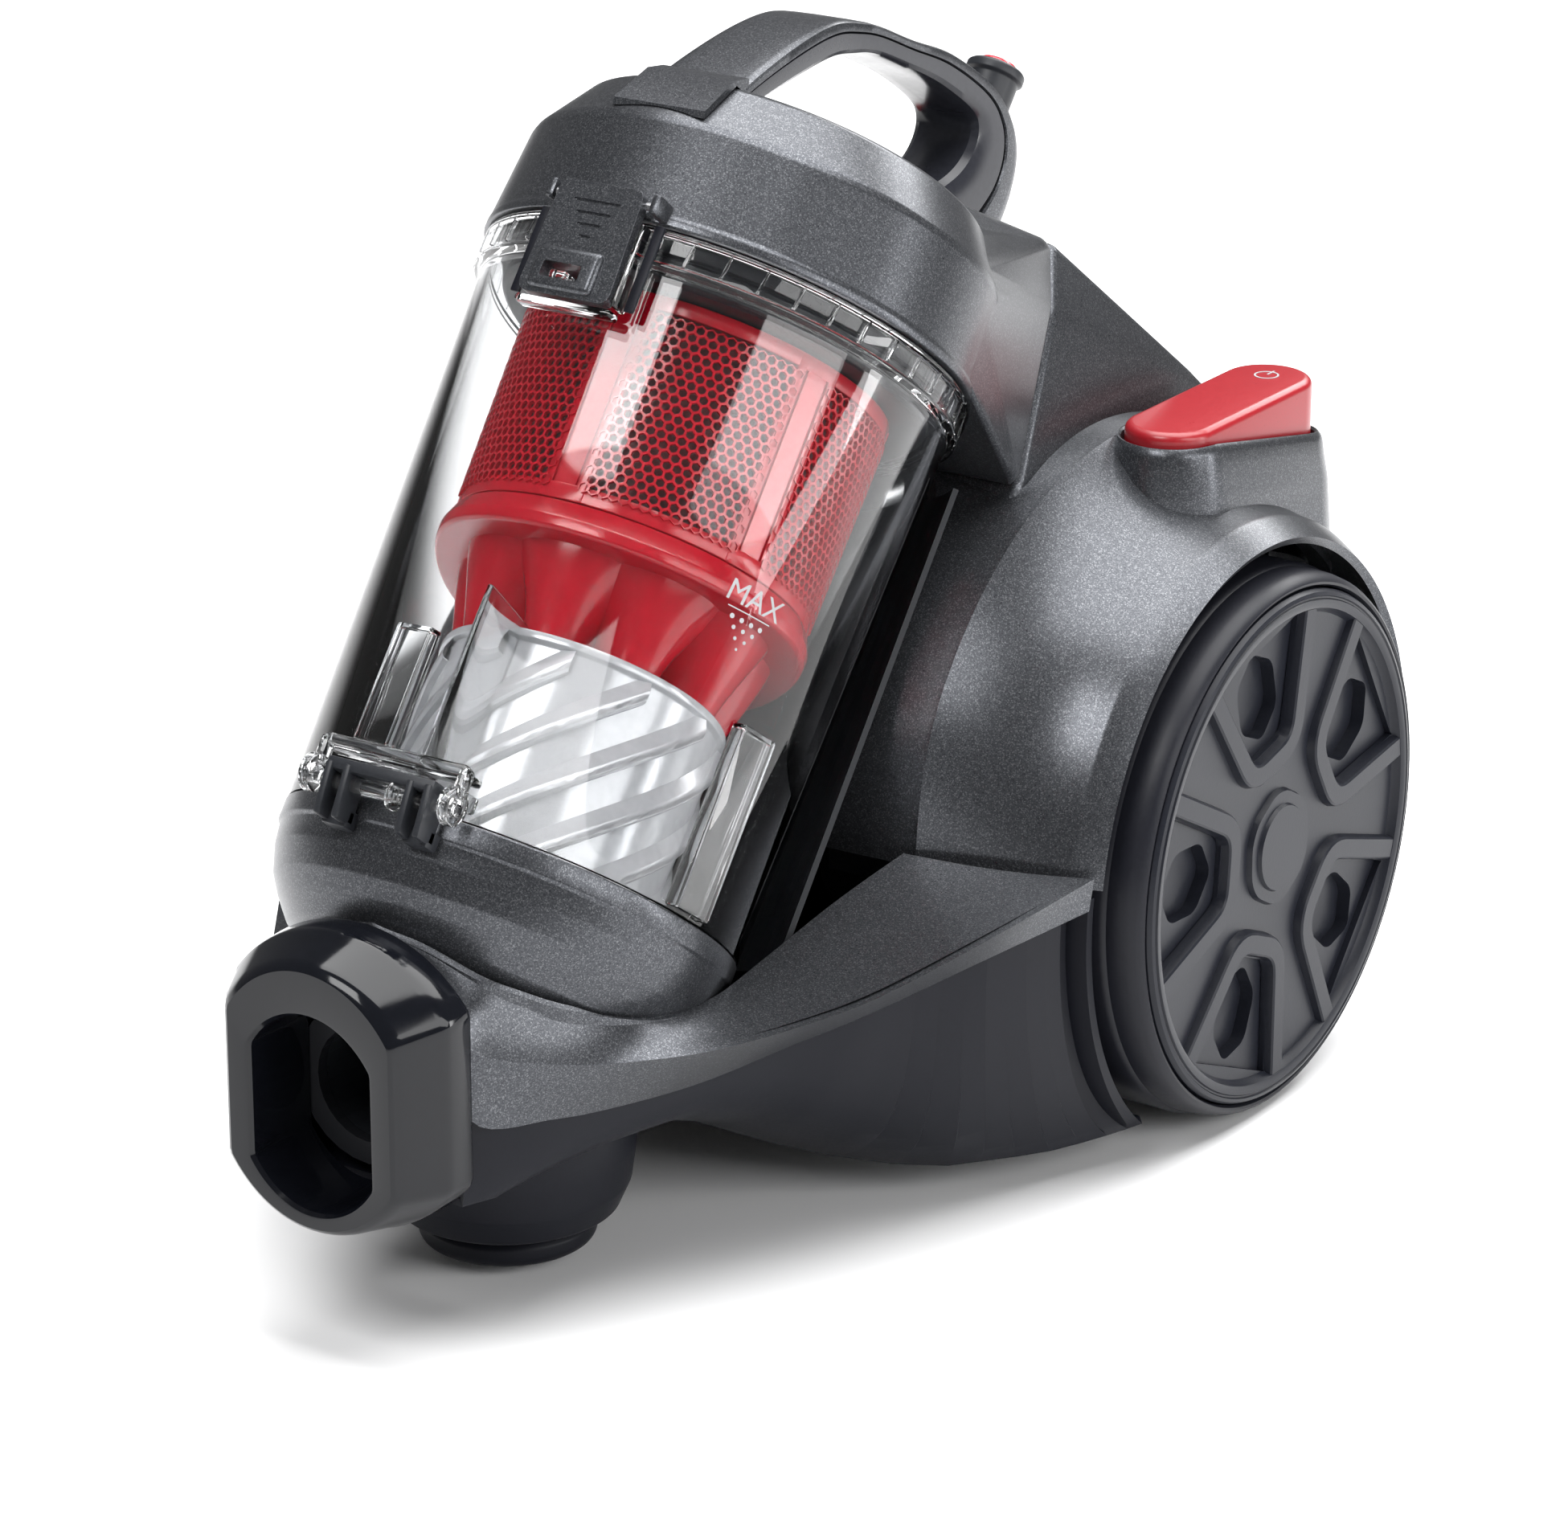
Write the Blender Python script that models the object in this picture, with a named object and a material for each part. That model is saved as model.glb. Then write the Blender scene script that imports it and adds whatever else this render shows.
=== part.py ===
"""Bagless canister vacuum cleaner: a wheeled housing that carries a lift-out cyclone bin.

The axes are X across, -Y to the front, +Z up. Sizes are in millimetres and become metres
in finish(). The housing is shaped round the wheels' common axle, and the bin round its own
leaning axis, so the bin's pieces are drawn upright in the frame of one leaning empty.
"""
import math

import bmesh
import bpy
from mathutils import Matrix, Vector

MM = 0.001
GAP = 0.3

# Driving dimensions, in millimetres and degrees
HALF_LENGTH = 202.0
AXLE_Y, AXLE_Z = 100.3, 86.0
WHEEL_RADIUS, WHEEL_INNER_X, WHEEL_OUTER_X = 86.0, 101.0, 138.9
HUB_RADIUS = 80.0
ARCH_X, ARCH_RADIUS = 130.0, 98.5
CREASE_X, BACK_RADIUS, BACK_CROWN = 78.0, 122.0, 3.0
REAR_RADIUS = HALF_LENGTH - AXLE_Y - BACK_CROWN - 0.6
WALL = 2.8
BIN_LEAN = 38.15
BIN_FOOT = (0.0, -106.4, 111.9)
BIN_FOOT_RADIUS, BIN_COLLAR_RADIUS, BIN_HEIGHT, BIN_WALL = 68.8, 75.4, 177.4, 2.4
BIN_CLEARANCE_RADIUS = 81.5
SEAM = 70.0
DOOR_HINGE = (75.5, 0.0)
LATCH_HINGE = (79.0, 181.0)
INLET_Z, INLET_HALF_WIDTH, INLET_HALF_HEIGHT = 74.0, 20.7, 29.4
NOSE_BACK_Y = -176.3
CASTER_Y, CASTER_TRAIL, CASTER_RADIUS = -111.0, 8.0, 13.0
PEDAL_X, PEDAL_FRONT_Y, PEDAL_REAR_Y, PEDAL_HALF_WIDTH = 92.0, 92.0, 178.0, 14.2
PEDAL_TOP_Z = 212.0
POD_FOOT_Z, POD_FLOOR_Z = 150.0, 180.0
PEDAL_HINGE = (100.0, 200.0)
BUTTON_SETBACK, STUB_FOOT_S = 88.0, 281.5
MOTOR_Y = 110.0
FLOOR_CLEARANCE = 12.0


for old in list(bpy.data.objects):
    bpy.data.objects.remove(old)


def plastic(name, colour, roughness, metallic=0.0, transmission=0.0):
    material = bpy.data.materials.new(name)
    material.use_nodes = True
    shader = material.node_tree.nodes["Principled BSDF"]
    shader.inputs["Base Color"].default_value = (*colour, 1.0)
    shader.inputs["Roughness"].default_value = roughness
    shader.inputs["Metallic"].default_value = metallic
    shader.inputs["Transmission Weight"].default_value = transmission
    return material


GREY = plastic("metallic_grey", (0.075, 0.08, 0.088), 0.38, 0.35)
DARK = plastic("dark_grey", (0.03, 0.032, 0.037), 0.5)
BLACK = plastic("black_plastic", (0.012, 0.013, 0.016), 0.35)
GLOSS = plastic("gloss_black", (0.006, 0.007, 0.009), 0.08)
RED = plastic("red_plastic", (0.42, 0.008, 0.014), 0.22)
CLEAR = plastic("clear_plastic", (0.93, 0.94, 0.95), 0.04, 0.0, 1.0)
MILKY = plastic("milky_plastic", (0.75, 0.76, 0.78), 0.25, 0.0, 0.5)
RUBBER = plastic("rubber", (0.02, 0.02, 0.022), 0.8)
FOAM = plastic("filter_foam", (0.55, 0.56, 0.58), 0.95)
STEEL = plastic("steel", (0.55, 0.55, 0.56), 0.3, 1.0)
COPPER = plastic("motor_grey", (0.3, 0.3, 0.32), 0.4, 0.8)


def empty(name, place, turn_x=0.0):
    guide = bpy.data.objects.new(name, None)
    guide.location = [value * MM for value in place]
    guide.rotation_euler = (math.radians(turn_x), 0.0, 0.0)
    bpy.context.collection.objects.link(guide)
    return guide


BIN_FRAME = empty("bin_frame", BIN_FOOT, -BIN_LEAN)


def finish(name, shape, material, frame=None, pivot=(0.0, 0.0, 0.0)):
    """Turn a millimetre shape into an object in metres whose origin is its pivot."""
    bmesh.ops.recalc_face_normals(shape, faces=shape.faces)
    if shape.calc_volume(signed=True) < 0:
        bmesh.ops.reverse_faces(shape, faces=shape.faces)
    bmesh.ops.triangulate(shape, faces=[face for face in shape.faces if len(face.verts) > 4])
    pivot = Vector(pivot)
    bmesh.ops.transform(
        shape, matrix=Matrix.Scale(MM, 4) @ Matrix.Translation(-pivot), verts=shape.verts
    )
    mesh = bpy.data.meshes.new(name)
    shape.to_mesh(mesh)
    shape.free()
    mesh.shade_smooth()
    mesh.set_sharp_from_angle(angle=math.radians(35))
    mesh.materials.append(material)
    piece = bpy.data.objects.new(name, mesh)
    piece.location = pivot * MM
    piece.parent = frame
    bpy.context.collection.objects.link(piece)
    return piece


def combine(piece, shape, operation, frame=None):
    """Cut a shape from a piece, or add or intersect it."""
    tool = finish(piece.name + "_" + operation.lower(), shape, piece.data.materials[0], frame)
    tool.hide_render = True
    tool.display_type = "WIRE"
    modifier = piece.modifiers.new(operation.title(), "BOOLEAN")
    modifier.operation = operation
    modifier.solver = "EXACT"
    modifier.object = tool
    return piece


def cut(piece, shape, frame=None):
    return combine(piece, shape, "DIFFERENCE", frame)


def add(piece, shape, frame=None):
    return combine(piece, shape, "UNION", frame)


def loft(rings):
    """Closed body through rings of equally many points."""
    shape = bmesh.new()
    rows = [[shape.verts.new(point) for point in ring] for ring in rings]
    count = len(rows[0])
    for low, high in zip(rows, rows[1:]):
        for i in range(count):
            j = (i + 1) % count
            shape.faces.new((low[i], low[j], high[j], high[i]))
    shape.faces.new(rows[0])
    shape.faces.new(rows[-1])
    return shape


def circle(radius, height, segments, centre=(0.0, 0.0)):
    return [
        (
            centre[0] + radius * math.cos(math.tau * i / segments),
            centre[1] + radius * math.sin(math.tau * i / segments),
            height,
        )
        for i in range(segments)
    ]


def turned(profile, segments=28, centre=(0.0, 0.0)):
    """Solid of revolution about Z: (radius, height) pairs from one end to the other."""
    return loft([circle(radius, height, segments, centre) for radius, height in profile])


def turned_ring(profile, segments=28, start=0.0, sweep=360.0):
    """Hollow body of revolution about Z from a closed (radius, height) outline."""
    shape = bmesh.new()
    whole = sweep >= 360.0
    rows = []
    for step in range(segments if whole else segments + 1):
        angle = math.radians(start + sweep * step / segments)
        rows.append(
            [
                shape.verts.new((radius * math.cos(angle), radius * math.sin(angle), height))
                for radius, height in profile
            ]
        )
    count = len(profile)
    pairs = list(zip(rows, rows[1:])) + ([(rows[-1], rows[0])] if whole else [])
    for low, high in pairs:
        for i in range(count):
            j = (i + 1) % count
            shape.faces.new((low[i], low[j], high[j], high[i]))
    if not whole:
        shape.faces.new(rows[0])
        shape.faces.new(rows[-1])
    return shape


def across(shape, x=0.0, y=0.0, z=0.0):
    """Lay a body turned about Z along X, with its foot at the given point."""
    lay = Matrix.Translation((x, y, z)) @ Matrix.Rotation(math.radians(90), 4, "Y")
    bmesh.ops.transform(shape, matrix=lay, verts=shape.verts)
    return shape


def along(shape, x=0.0, y=0.0, z=0.0):
    """Lay a body turned about Z along -Y, with its foot at the given point."""
    lay = Matrix.Translation((x, y, z)) @ Matrix.Rotation(math.radians(90), 4, "X")
    bmesh.ops.transform(shape, matrix=lay, verts=shape.verts)
    return shape


def box(low, high, bevel=0.0):
    shape = bmesh.new()
    bmesh.ops.create_cube(shape, size=1.0)
    for vert in shape.verts:
        vert.co = [a + (b - a) * (c + 0.5) for a, b, c in zip(low, high, vert.co)]
    if bevel:
        bmesh.ops.bevel(
            shape, geom=shape.edges[:], offset=bevel, offset_type="OFFSET", segments=1,
            profile=0.5, affect="EDGES", material=-1,
        )
    return shape


def hull(points):
    shape = bmesh.new()
    for point in points:
        shape.verts.new(point)
    found = bmesh.ops.convex_hull(shape, input=shape.verts)
    spare = {item for item in found["geom_interior"] + found["geom_unused"]}
    bmesh.ops.delete(shape, geom=[v for v in spare if isinstance(v, bmesh.types.BMVert)])
    return shape


def prism(outline, low_z, high_z):
    return loft([[(x, y, low_z) for x, y in outline], [(x, y, high_z) for x, y in outline]])


def smooth_step(value):
    value = min(max(value, 0.0), 1.0)
    return value * value * (3 - 2 * value)


def spread(first, last, steps):
    return [first + (last - first) * i / steps for i in range(steps + 1)]


# ---------------------------------------------------------------- housing round the axle
def housing_radius(x, angle):
    """Outer radius about the axle: a crowned back, hollow flanks and the wheel arches."""
    flank = REAR_RADIUS + (BACK_RADIUS - REAR_RADIUS) * smooth_step(angle / 55)
    flank -= 7 * smooth_step((angle - 145) / 35)
    reach = abs(x)
    if reach <= CREASE_X:
        return flank + BACK_CROWN * (1 - (reach / CREASE_X) ** 2)
    fall = (1 - (reach - CREASE_X) / (ARCH_X - CREASE_X)) ** 2.2
    return ARCH_RADIUS + (flank - ARCH_RADIUS) * fall


def polar_patch(stations, angles, outset, thickness):
    """Curved plate that follows the housing's skin, set out or in and so thick."""
    shape = bmesh.new()
    skins = []
    for depth in (0.0, thickness):
        grid = []
        for x in stations:
            row = []
            for angle in angles:
                radius = housing_radius(x, angle) + outset - depth
                turn = math.radians(angle)
                row.append(
                    shape.verts.new(
                        (x, AXLE_Y + radius * math.cos(turn), AXLE_Z + radius * math.sin(turn))
                    )
                )
            grid.append(row)
        skins.append(grid)
    outer, inner = skins
    rows, columns = len(stations), len(angles)
    for i in range(rows - 1):
        for j in range(columns - 1):
            for skin in skins:
                shape.faces.new(
                    (skin[i][j], skin[i + 1][j], skin[i + 1][j + 1], skin[i][j + 1])
                )
    for i in range(rows - 1):
        for j in (0, columns - 1):
            shape.faces.new((outer[i][j], outer[i + 1][j], inner[i + 1][j], inner[i][j]))
    for j in range(columns - 1):
        for i in (0, rows - 1):
            shape.faces.new((outer[i][j], outer[i][j + 1], inner[i][j + 1], inner[i][j]))
    return shape


def stadium(half_width, front_y, rear_y, centre_x, segments=8):
    """Plan outline with round ends, drawn round the front end and then the rear."""
    outline = []
    for centre_y, start in ((front_y + half_width, 180), (rear_y - half_width, 0)):
        for i in range(segments + 1):
            angle = math.radians(start + 180 * i / segments)
            outline.append(
                (centre_x + half_width * math.cos(angle), centre_y + half_width * math.sin(angle))
            )
    return outline


FLANK_STATIONS = [CREASE_X, 84.0, 91.0, 100.0, 110.0, 120.0, ARCH_X]
MIDDLE_STATIONS = spread(-52.0, 52.0, 4)
STATIONS = [-x for x in reversed(FLANK_STATIONS)] + MIDDLE_STATIONS + FLANK_STATIONS
HOUSING_ANGLES = spread(-24.0, 171.0, 24)

main_housing = finish("main_housing", polar_patch(STATIONS, HOUSING_ANGLES, 0.0, WALL), GREY)


def pod_top(y):
    """Height of the pedal pocket's rim, which falls away to the rear."""
    return 208.0 - 15.0 * smooth_step((y - PEDAL_FRONT_Y - 8) / 90)


for side in (-1, 1):
    rim = stadium(PEDAL_HALF_WIDTH + 3.6, PEDAL_FRONT_Y - 3.6, PEDAL_REAR_Y + 3.6, side * PEDAL_X)
    pocket = stadium(PEDAL_HALF_WIDTH + 1, PEDAL_FRONT_Y - 1, PEDAL_REAR_Y + 1, side * PEDAL_X)
    add(
        main_housing,
        loft([[(x, y, POD_FOOT_Z) for x, y in rim], [(x, y, pod_top(y)) for x, y in rim]]),
    )
    cut(main_housing, prism(pocket, POD_FLOOR_Z, 230.0))
    cut(main_housing, prism(pocket, POD_FOOT_Z - 20, POD_FLOOR_Z - WALL))
    well = turned([(ARCH_RADIUS - WALL - 0.5, 92), (ARCH_RADIUS - WALL - 0.5, 140)], 40)
    cut(main_housing, across(well, -232.0 if side < 0 else 0.0, AXLE_Y, AXLE_Z))
cut(main_housing, turned([(BIN_CLEARANCE_RADIUS, -70), (BIN_CLEARANCE_RADIUS, 320)], 40), BIN_FRAME)
cut(main_housing, box((-44, AXLE_Y + 60, 67), (44, 260, 148)))
cut(main_housing, along(turned([(9.3, -20), (9.3, 40)], 24), -68, 200, 74))

exhaust_grille = finish(
    "exhaust_grille",
    polar_patch(spread(-42.0, 42.0, 4), spread(-8.5, 31.0, 8), 0.0, 2.4),
    GREY,
    pivot=(0, 200.4, 71.0),
)
for row in range(7):
    height = 80.0 + row * 8.0
    cut(exhaust_grille, box((-34, 150, height), (34, 230, height + 3.2)))

finish("exhaust_filter", box((-40, 171, 76), (40, 184, 126), 1.0), FOAM)

cord_outlet = finish(
    "cord_outlet",
    along(
        turned_ring([(5.2, -1.8), (11.6, -1.8), (11.6, GAP), (8.9, GAP), (8.9, 9), (5.2, 9)], 28),
        -68, 200.4, 74,
    ),
    BLACK,
)


# ---------------------------------------------------------------- neck behind the bin
def seam_section(setback, inset=0.0):
    """The lid's shoulder and the neck share this outline at the seam; bin frame."""
    sides = ((52 - inset, 247 - inset), (61 - inset, 225), (71 - inset, 168))
    return [(sign * x, setback, s) for sign in (-1, 1) for x, s in sides]


def to_world(point):
    return BIN_MATRIX @ Vector(point)


BIN_MATRIX = Matrix.Translation(BIN_FOOT) @ Matrix.Rotation(math.radians(-BIN_LEAN), 4, "X")


def neck(inset, setback):
    front = [to_world(point) for point in seam_section(setback, inset)]
    front += [to_world((sign * (70 - inset), setback, 130)) for sign in (-1, 1)]
    rear = [
        (sign * (x - inset), y - inset, z - inset)
        for sign in (-1, 1)
        for x, y, z in ((68, 168, 205), (72, 186, 178), (72, 186, 130), (70, 60, 130))
    ]
    return hull(front + rear)


neck_cover = finish("neck_cover", neck(0.0, SEAM + GAP), GREY)
cut(neck_cover, neck(2.6, SEAM + 3.0))
cut(neck_cover, polar_patch(spread(-100, 100, 20), spread(-30, 200, 46), 0.5, 110.0))
cut(neck_cover, turned([(77.4, -70), (77.4, 320)], 40), BIN_FRAME)


# ---------------------------------------------------------------- bin cradle
CRADLE_RADIUS = 79.5
bin_cradle = finish(
    "bin_cradle",
    turned_ring(
        [(CRADLE_RADIUS, 6), (CRADLE_RADIUS + 1.7, 6), (CRADLE_RADIUS + 1.7, 158),
         (CRADLE_RADIUS, 158)],
        24, 38, 104,
    ),
    DARK,
    BIN_FRAME,
)
cut(bin_cradle, box((-13, 60, 112), (13, 100, 140)), BIN_FRAME)
cradle_duct = finish(
    "cradle_duct", box((-17, 82.4, 106), (17, 100, 146), 1.0), DARK, BIN_FRAME
)
cut(cradle_duct, box((-13, 70, 112), (13, 96, 140)), BIN_FRAME)
cut(cradle_duct, box((-11, 84, 90), (11, 96, 120)), BIN_FRAME)


# ---------------------------------------------------------------- front skirt with its wings
SKIRT_INNER = [
    (0, -171, 121.8), (17, -169, 118), (31.6, -163, 110), (40, -156, 105), (48, -148, 100.3),
    (56, -134, 94.5), (61, -120, 90.5), (65, -100, 89.3), (66, -75, 93), (71, -45, 102),
    (77, -18.5, 109.5),
]
SKIRT_OUTER = [
    (0, -176, 122.5), (20, -176, 117), (33, -176, 105), (37.5, -176, 93), (53.6, -155, 85.7),
    (67.5, -134.3, 83.1), (80.4, -115.6, 83.2), (95.6, -93, 86.7), (107.3, -75.2, 91.5),
    (120.5, -43.4, 99.8), (130, 1.5, 106.5),
]
SKIRT_LOWER = [
    (0, -176, 119), (19, -176, 113), (31, -176, 101), (37, -176, 72), (47.6, -152, 66.7),
    (57.5, -129.3, 65.6), (66.9, -105.6, 66.2), (80.6, -83, 72.2), (95.8, -66.2, 79.5),
    (114, -36.4, 89.3), (129, 0.5, 96.5),
]


def skirt_section(inner, outer, lower):
    """Sheet with a turned-down rim: the inner edge, the rim's crest and its lower edge."""
    inner, outer, lower = Vector(inner), Vector(outer), Vector(lower)
    inwards = ((inner - outer) * 0.25 + lower - outer) * Vector((1, 1, 0))
    ledge = min(5.0, (inner - outer).length / 2)
    inwards.normalize()
    down = Vector((0, 0, -2.6))
    depth = min(1.0, (outer - lower).length * 0.23)
    return [inner, outer, lower, lower + inwards * 2.4, outer + inwards * ledge + down * depth,
            inner + down]


right = [skirt_section(*points) for points in zip(SKIRT_INNER, SKIRT_OUTER, SKIRT_LOWER)]
left = [[point * Vector((-1, 1, 1)) for point in section] for section in right[:0:-1]]
front_skirt = finish("front_skirt", loft(left + right), GREY)
cut(
    front_skirt,
    turned([(46, -60), (52, -40), (59.5, -33), (67.5, -22), (71, -8), (71.5, 60)], 32),
    BIN_FRAME,
)

# ---------------------------------------------------------------- inlet in the nose


def slot_outline(half_width, half_height, middle, y, segments=32):
    """Upright opening with flat sides and round ends."""
    ring = []
    for i in range(segments):
        angle = math.tau * i / segments
        x = half_width * min(max(1.22 * math.cos(angle), -1.0), 1.0)
        ring.append((x, y, middle + half_height * math.sin(angle)))
    return ring


inlet_collar = finish(
    "inlet_collar",
    loft(
        [
            slot_outline(28.6, 38.9, 78.6, -HALF_LENGTH),
            slot_outline(30.4, 40.6, 78.8, -HALF_LENGTH + 2.2),
            slot_outline(37.6, 44.0, 79.6, NOSE_BACK_Y - 6),
            slot_outline(38.0, 44.4, 79.6, NOSE_BACK_Y),
        ]
    ),
    GLOSS,
)
cut(
    inlet_collar,
    loft(
        [
            slot_outline(INLET_HALF_WIDTH, INLET_HALF_HEIGHT, INLET_Z, -HALF_LENGTH - 5),
            slot_outline(INLET_HALF_WIDTH - 1, INLET_HALF_HEIGHT - 1, INLET_Z, NOSE_BACK_Y + 5),
        ]
    ),
)
inlet_seal = finish(
    "inlet_seal",
    along(turned_ring([(17.2, 0), (24, 0), (24, 4), (17.2, 4)], 28), 0, NOSE_BACK_Y + 4.4, INLET_Z),
    RUBBER,
)
inlet_tube = finish(
    "inlet_tube",
    along(
        turned_ring([(17.5, 0), (20.5, 0), (20.5, 22), (17.5, 22)], 28),
        0, NOSE_BACK_Y + 26.8, INLET_Z,
    ),
    DARK,
)


# ---------------------------------------------------------------- black base pan
def pan_section(y, half_width, low, high, inset=0.0):
    half_width, low = half_width - inset, low + inset
    corner = 13.0
    right_side = [(half_width - corner, low), (half_width, low + corner), (half_width, high)]
    left_side = [(-x, z) for x, z in reversed(right_side)]
    return [(x, y, z) for x, z in right_side + left_side]


PAN_SECTIONS = [
    (-175.9, 33.5, 41, 70), (-150, 40, 46.4, 68), (-130, 50, 46.4, 66), (-104, 59, 46.4, 66),
    (-74, 59, 46.4, 66),
    (-45, 72, 30, 80), (-20, 88, 16, 86), (4, 95.5, FLOOR_CLEARANCE, 92),
    (20, 95.5, FLOOR_CLEARANCE, 94), (172, 95.5, FLOOR_CLEARANCE, 94), (184, 93, 17, 41),
]
base_pan = finish("base_pan", loft([pan_section(*section) for section in PAN_SECTIONS]), BLACK)
hollow = [pan_section(*section, 2.2) for section in PAN_SECTIONS]
hollow[0] = [(x, y + 2.2, z) for x, y, z in hollow[0]]
hollow[-1] = [(x, y - 2.2, z) for x, y, z in hollow[-1]]
for ring in hollow:
    ring[2] = (ring[2][0], ring[2][1], ring[2][2] + 30)
    ring[3] = (ring[3][0], ring[3][1], ring[3][2] + 30)
cut(base_pan, loft(hollow))
cut(base_pan, along(turned([(24.5, -10), (24.5, 40)], 28), 0, NOSE_BACK_Y + 30, INLET_Z))
for side in (-1, 1):
    add(base_pan, box((side * 94.0, 3.0, 20.0), (side * 125.0, 8.5, 92.0)))
    for rib in range(4):
        x = side * (66.0 + 8.5 * rib)
        y = -49.0 + 11.0 * rib
        add(base_pan, box((x - 5, y, 34.0 - 5 * rib), (x + 5 + side * 3.0, y + 2.4, 78.0)))

SCREW_PLACES = ((-60, 30), (60, 30), (-60, 166), (60, 166))
for number, (x, y) in enumerate(SCREW_PLACES, 1):
    cut(base_pan, turned([(2.2, 5), (2.2, 40)], 16, (x, y)))
    cut(base_pan, turned([(4.3, 5), (4.3, FLOOR_CLEARANCE + 0.9)], 16, (x, y)))
    finish(
        f"base_screw_{number}",
        turned(
            [(3.9, FLOOR_CLEARANCE - 1.4), (3.9, FLOOR_CLEARANCE + 0.6),
             (1.9, FLOOR_CLEARANCE + 0.6), (1.9, FLOOR_CLEARANCE + 12)], 12, (x, y)
        ),
        STEEL,
    )

# ---------------------------------------------------------------- caster under the nose
caster_housing = finish(
    "caster_housing",
    turned([(29, 13), (33, 15), (36.5, 23), (38, 34), (38, 45.8)], 28, (0, CASTER_Y)),
    BLACK,
)
cut(caster_housing, turned([(26.5, 0), (26.5, 29)], 32, (0, CASTER_Y)))
cut(caster_housing, turned([(5.6, 20), (5.6, 40)], 20, (0, CASTER_Y)))
caster_fork = finish(
    "caster_fork",
    turned([(24, 3.6), (26, 5.4), (26, 10), (22, 12.4), (22, 27), (5, 27), (5, 39)], 32,
           (0, CASTER_Y)),
    DARK,
    pivot=(0, CASTER_Y, 20),
)
cut(caster_fork, box((-8.4, CASTER_Y - 12, -5), (8.4, CASTER_Y + 30, 26.4)))
caster_pin = finish(
    "caster_pin",
    across(turned([(1.9, 0), (1.9, 16)], 14), -8.0, CASTER_Y + CASTER_TRAIL, CASTER_RADIUS),
    STEEL,
)
caster_wheel = finish(
    "caster_wheel",
    across(
        turned_ring(
            [(2.3, 0), (CASTER_RADIUS - 1.5, 0), (CASTER_RADIUS, 2), (CASTER_RADIUS, 12),
             (CASTER_RADIUS - 1.5, 14), (2.3, 14)], 28
        ),
        -7.0, CASTER_Y + CASTER_TRAIL, CASTER_RADIUS,
    ),
    RUBBER,
    pivot=(0, CASTER_Y + CASTER_TRAIL, CASTER_RADIUS),
)

# ---------------------------------------------------------------- rear wheels
TYRE = [
    (70, 0), (83.5, 0), (WHEEL_RADIUS, 3), (WHEEL_RADIUS, 29), (84.5, 33), (82.6, 34.5),
    (82.6, 37), (HUB_RADIUS + 0.6, 37), (HUB_RADIUS + 0.6, 26), (70, 26),
]
RIM = [(6.6, -3), (14, -3), (14, 8), (60, 12), (60, 2), (69.7, 2), (69.7, 26.4), (6.6, 26.4)]
CAP = [(HUB_RADIUS, 27), (HUB_RADIUS, 36), (78.6, 37.9), (74, 37.9), (72.5, 35.2), (22, 34.4),
       (20, 36.4), (12, 37.2)]


def outboard(shape, side):
    """Lay a wheel's piece along X on one side, its inner face at the wheel's inner plane."""
    turn = Matrix.Rotation(math.radians(90 * side), 4, "Y")
    place = Matrix.Translation((side * WHEEL_INNER_X, AXLE_Y, AXLE_Z))
    bmesh.ops.transform(shape, matrix=place @ turn, verts=shape.verts)
    return shape


for side, label in ((1, "right"), (-1, "left")):
    hub = (side * WHEEL_INNER_X, AXLE_Y, AXLE_Z)
    finish(f"tyre_{label}", outboard(turned_ring(TYRE, 40), side), RUBBER, pivot=hub)
    finish(f"wheel_rim_{label}", outboard(turned_ring(RIM, 24), side), BLACK, pivot=hub)
    cap = finish(f"hub_cap_{label}", outboard(turned(CAP, 40), side), DARK, pivot=hub)
    for spoke in range(5):
        centre = math.radians(72 * spoke + 20)
        reach = (48 * math.cos(centre), 48 * math.sin(centre))
        cut(cap, outboard(turned([(9, 33.2), (9, 45)], 8, reach), side))
    finish(
        f"axle_{label}",
        outboard(turned([(9, -14), (9, -8.1), (6, -8.1), (6, 25.6)], 20), side),
        STEEL,
    )
    cut(base_pan, outboard(turned([(6.4, -25), (6.4, 0)], 20), side))

# ---------------------------------------------------------------- pedals on the flanks


def pedal_bottom(y):
    return 197.0 - 9.0 * smooth_step((y - PEDAL_FRONT_Y - 20) / 66)


for side, label in ((1, "power"), (-1, "rewind")):
    plan = stadium(PEDAL_HALF_WIDTH, PEDAL_FRONT_Y, PEDAL_REAR_Y, side * PEDAL_X)
    top = stadium(
        PEDAL_HALF_WIDTH - 2.4, PEDAL_FRONT_Y + 2.4, PEDAL_REAR_Y - 2.4, side * PEDAL_X
    )
    finish(
        f"{label}_pedal",
        loft(
            [
                [(x, y, pedal_bottom(y)) for x, y in plan],
                [(x, y, PEDAL_TOP_Z - 2.4) for x, y in plan],
                [(x, y, PEDAL_TOP_Z) for x, y in top],
            ]
        ),
        RED,
        pivot=(side * PEDAL_X, *PEDAL_HINGE),
    )
    finish(
        f"{label}_pedal_spring",
        turned_ring([(3.4, 180.4), (5, 180.4), (5, 184.4), (3.4, 184.4)], 16),
        STEEL,
        pivot=(0, 0, 0),
    ).location = (side * PEDAL_X * MM, 152 * MM, 0.0)

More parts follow.
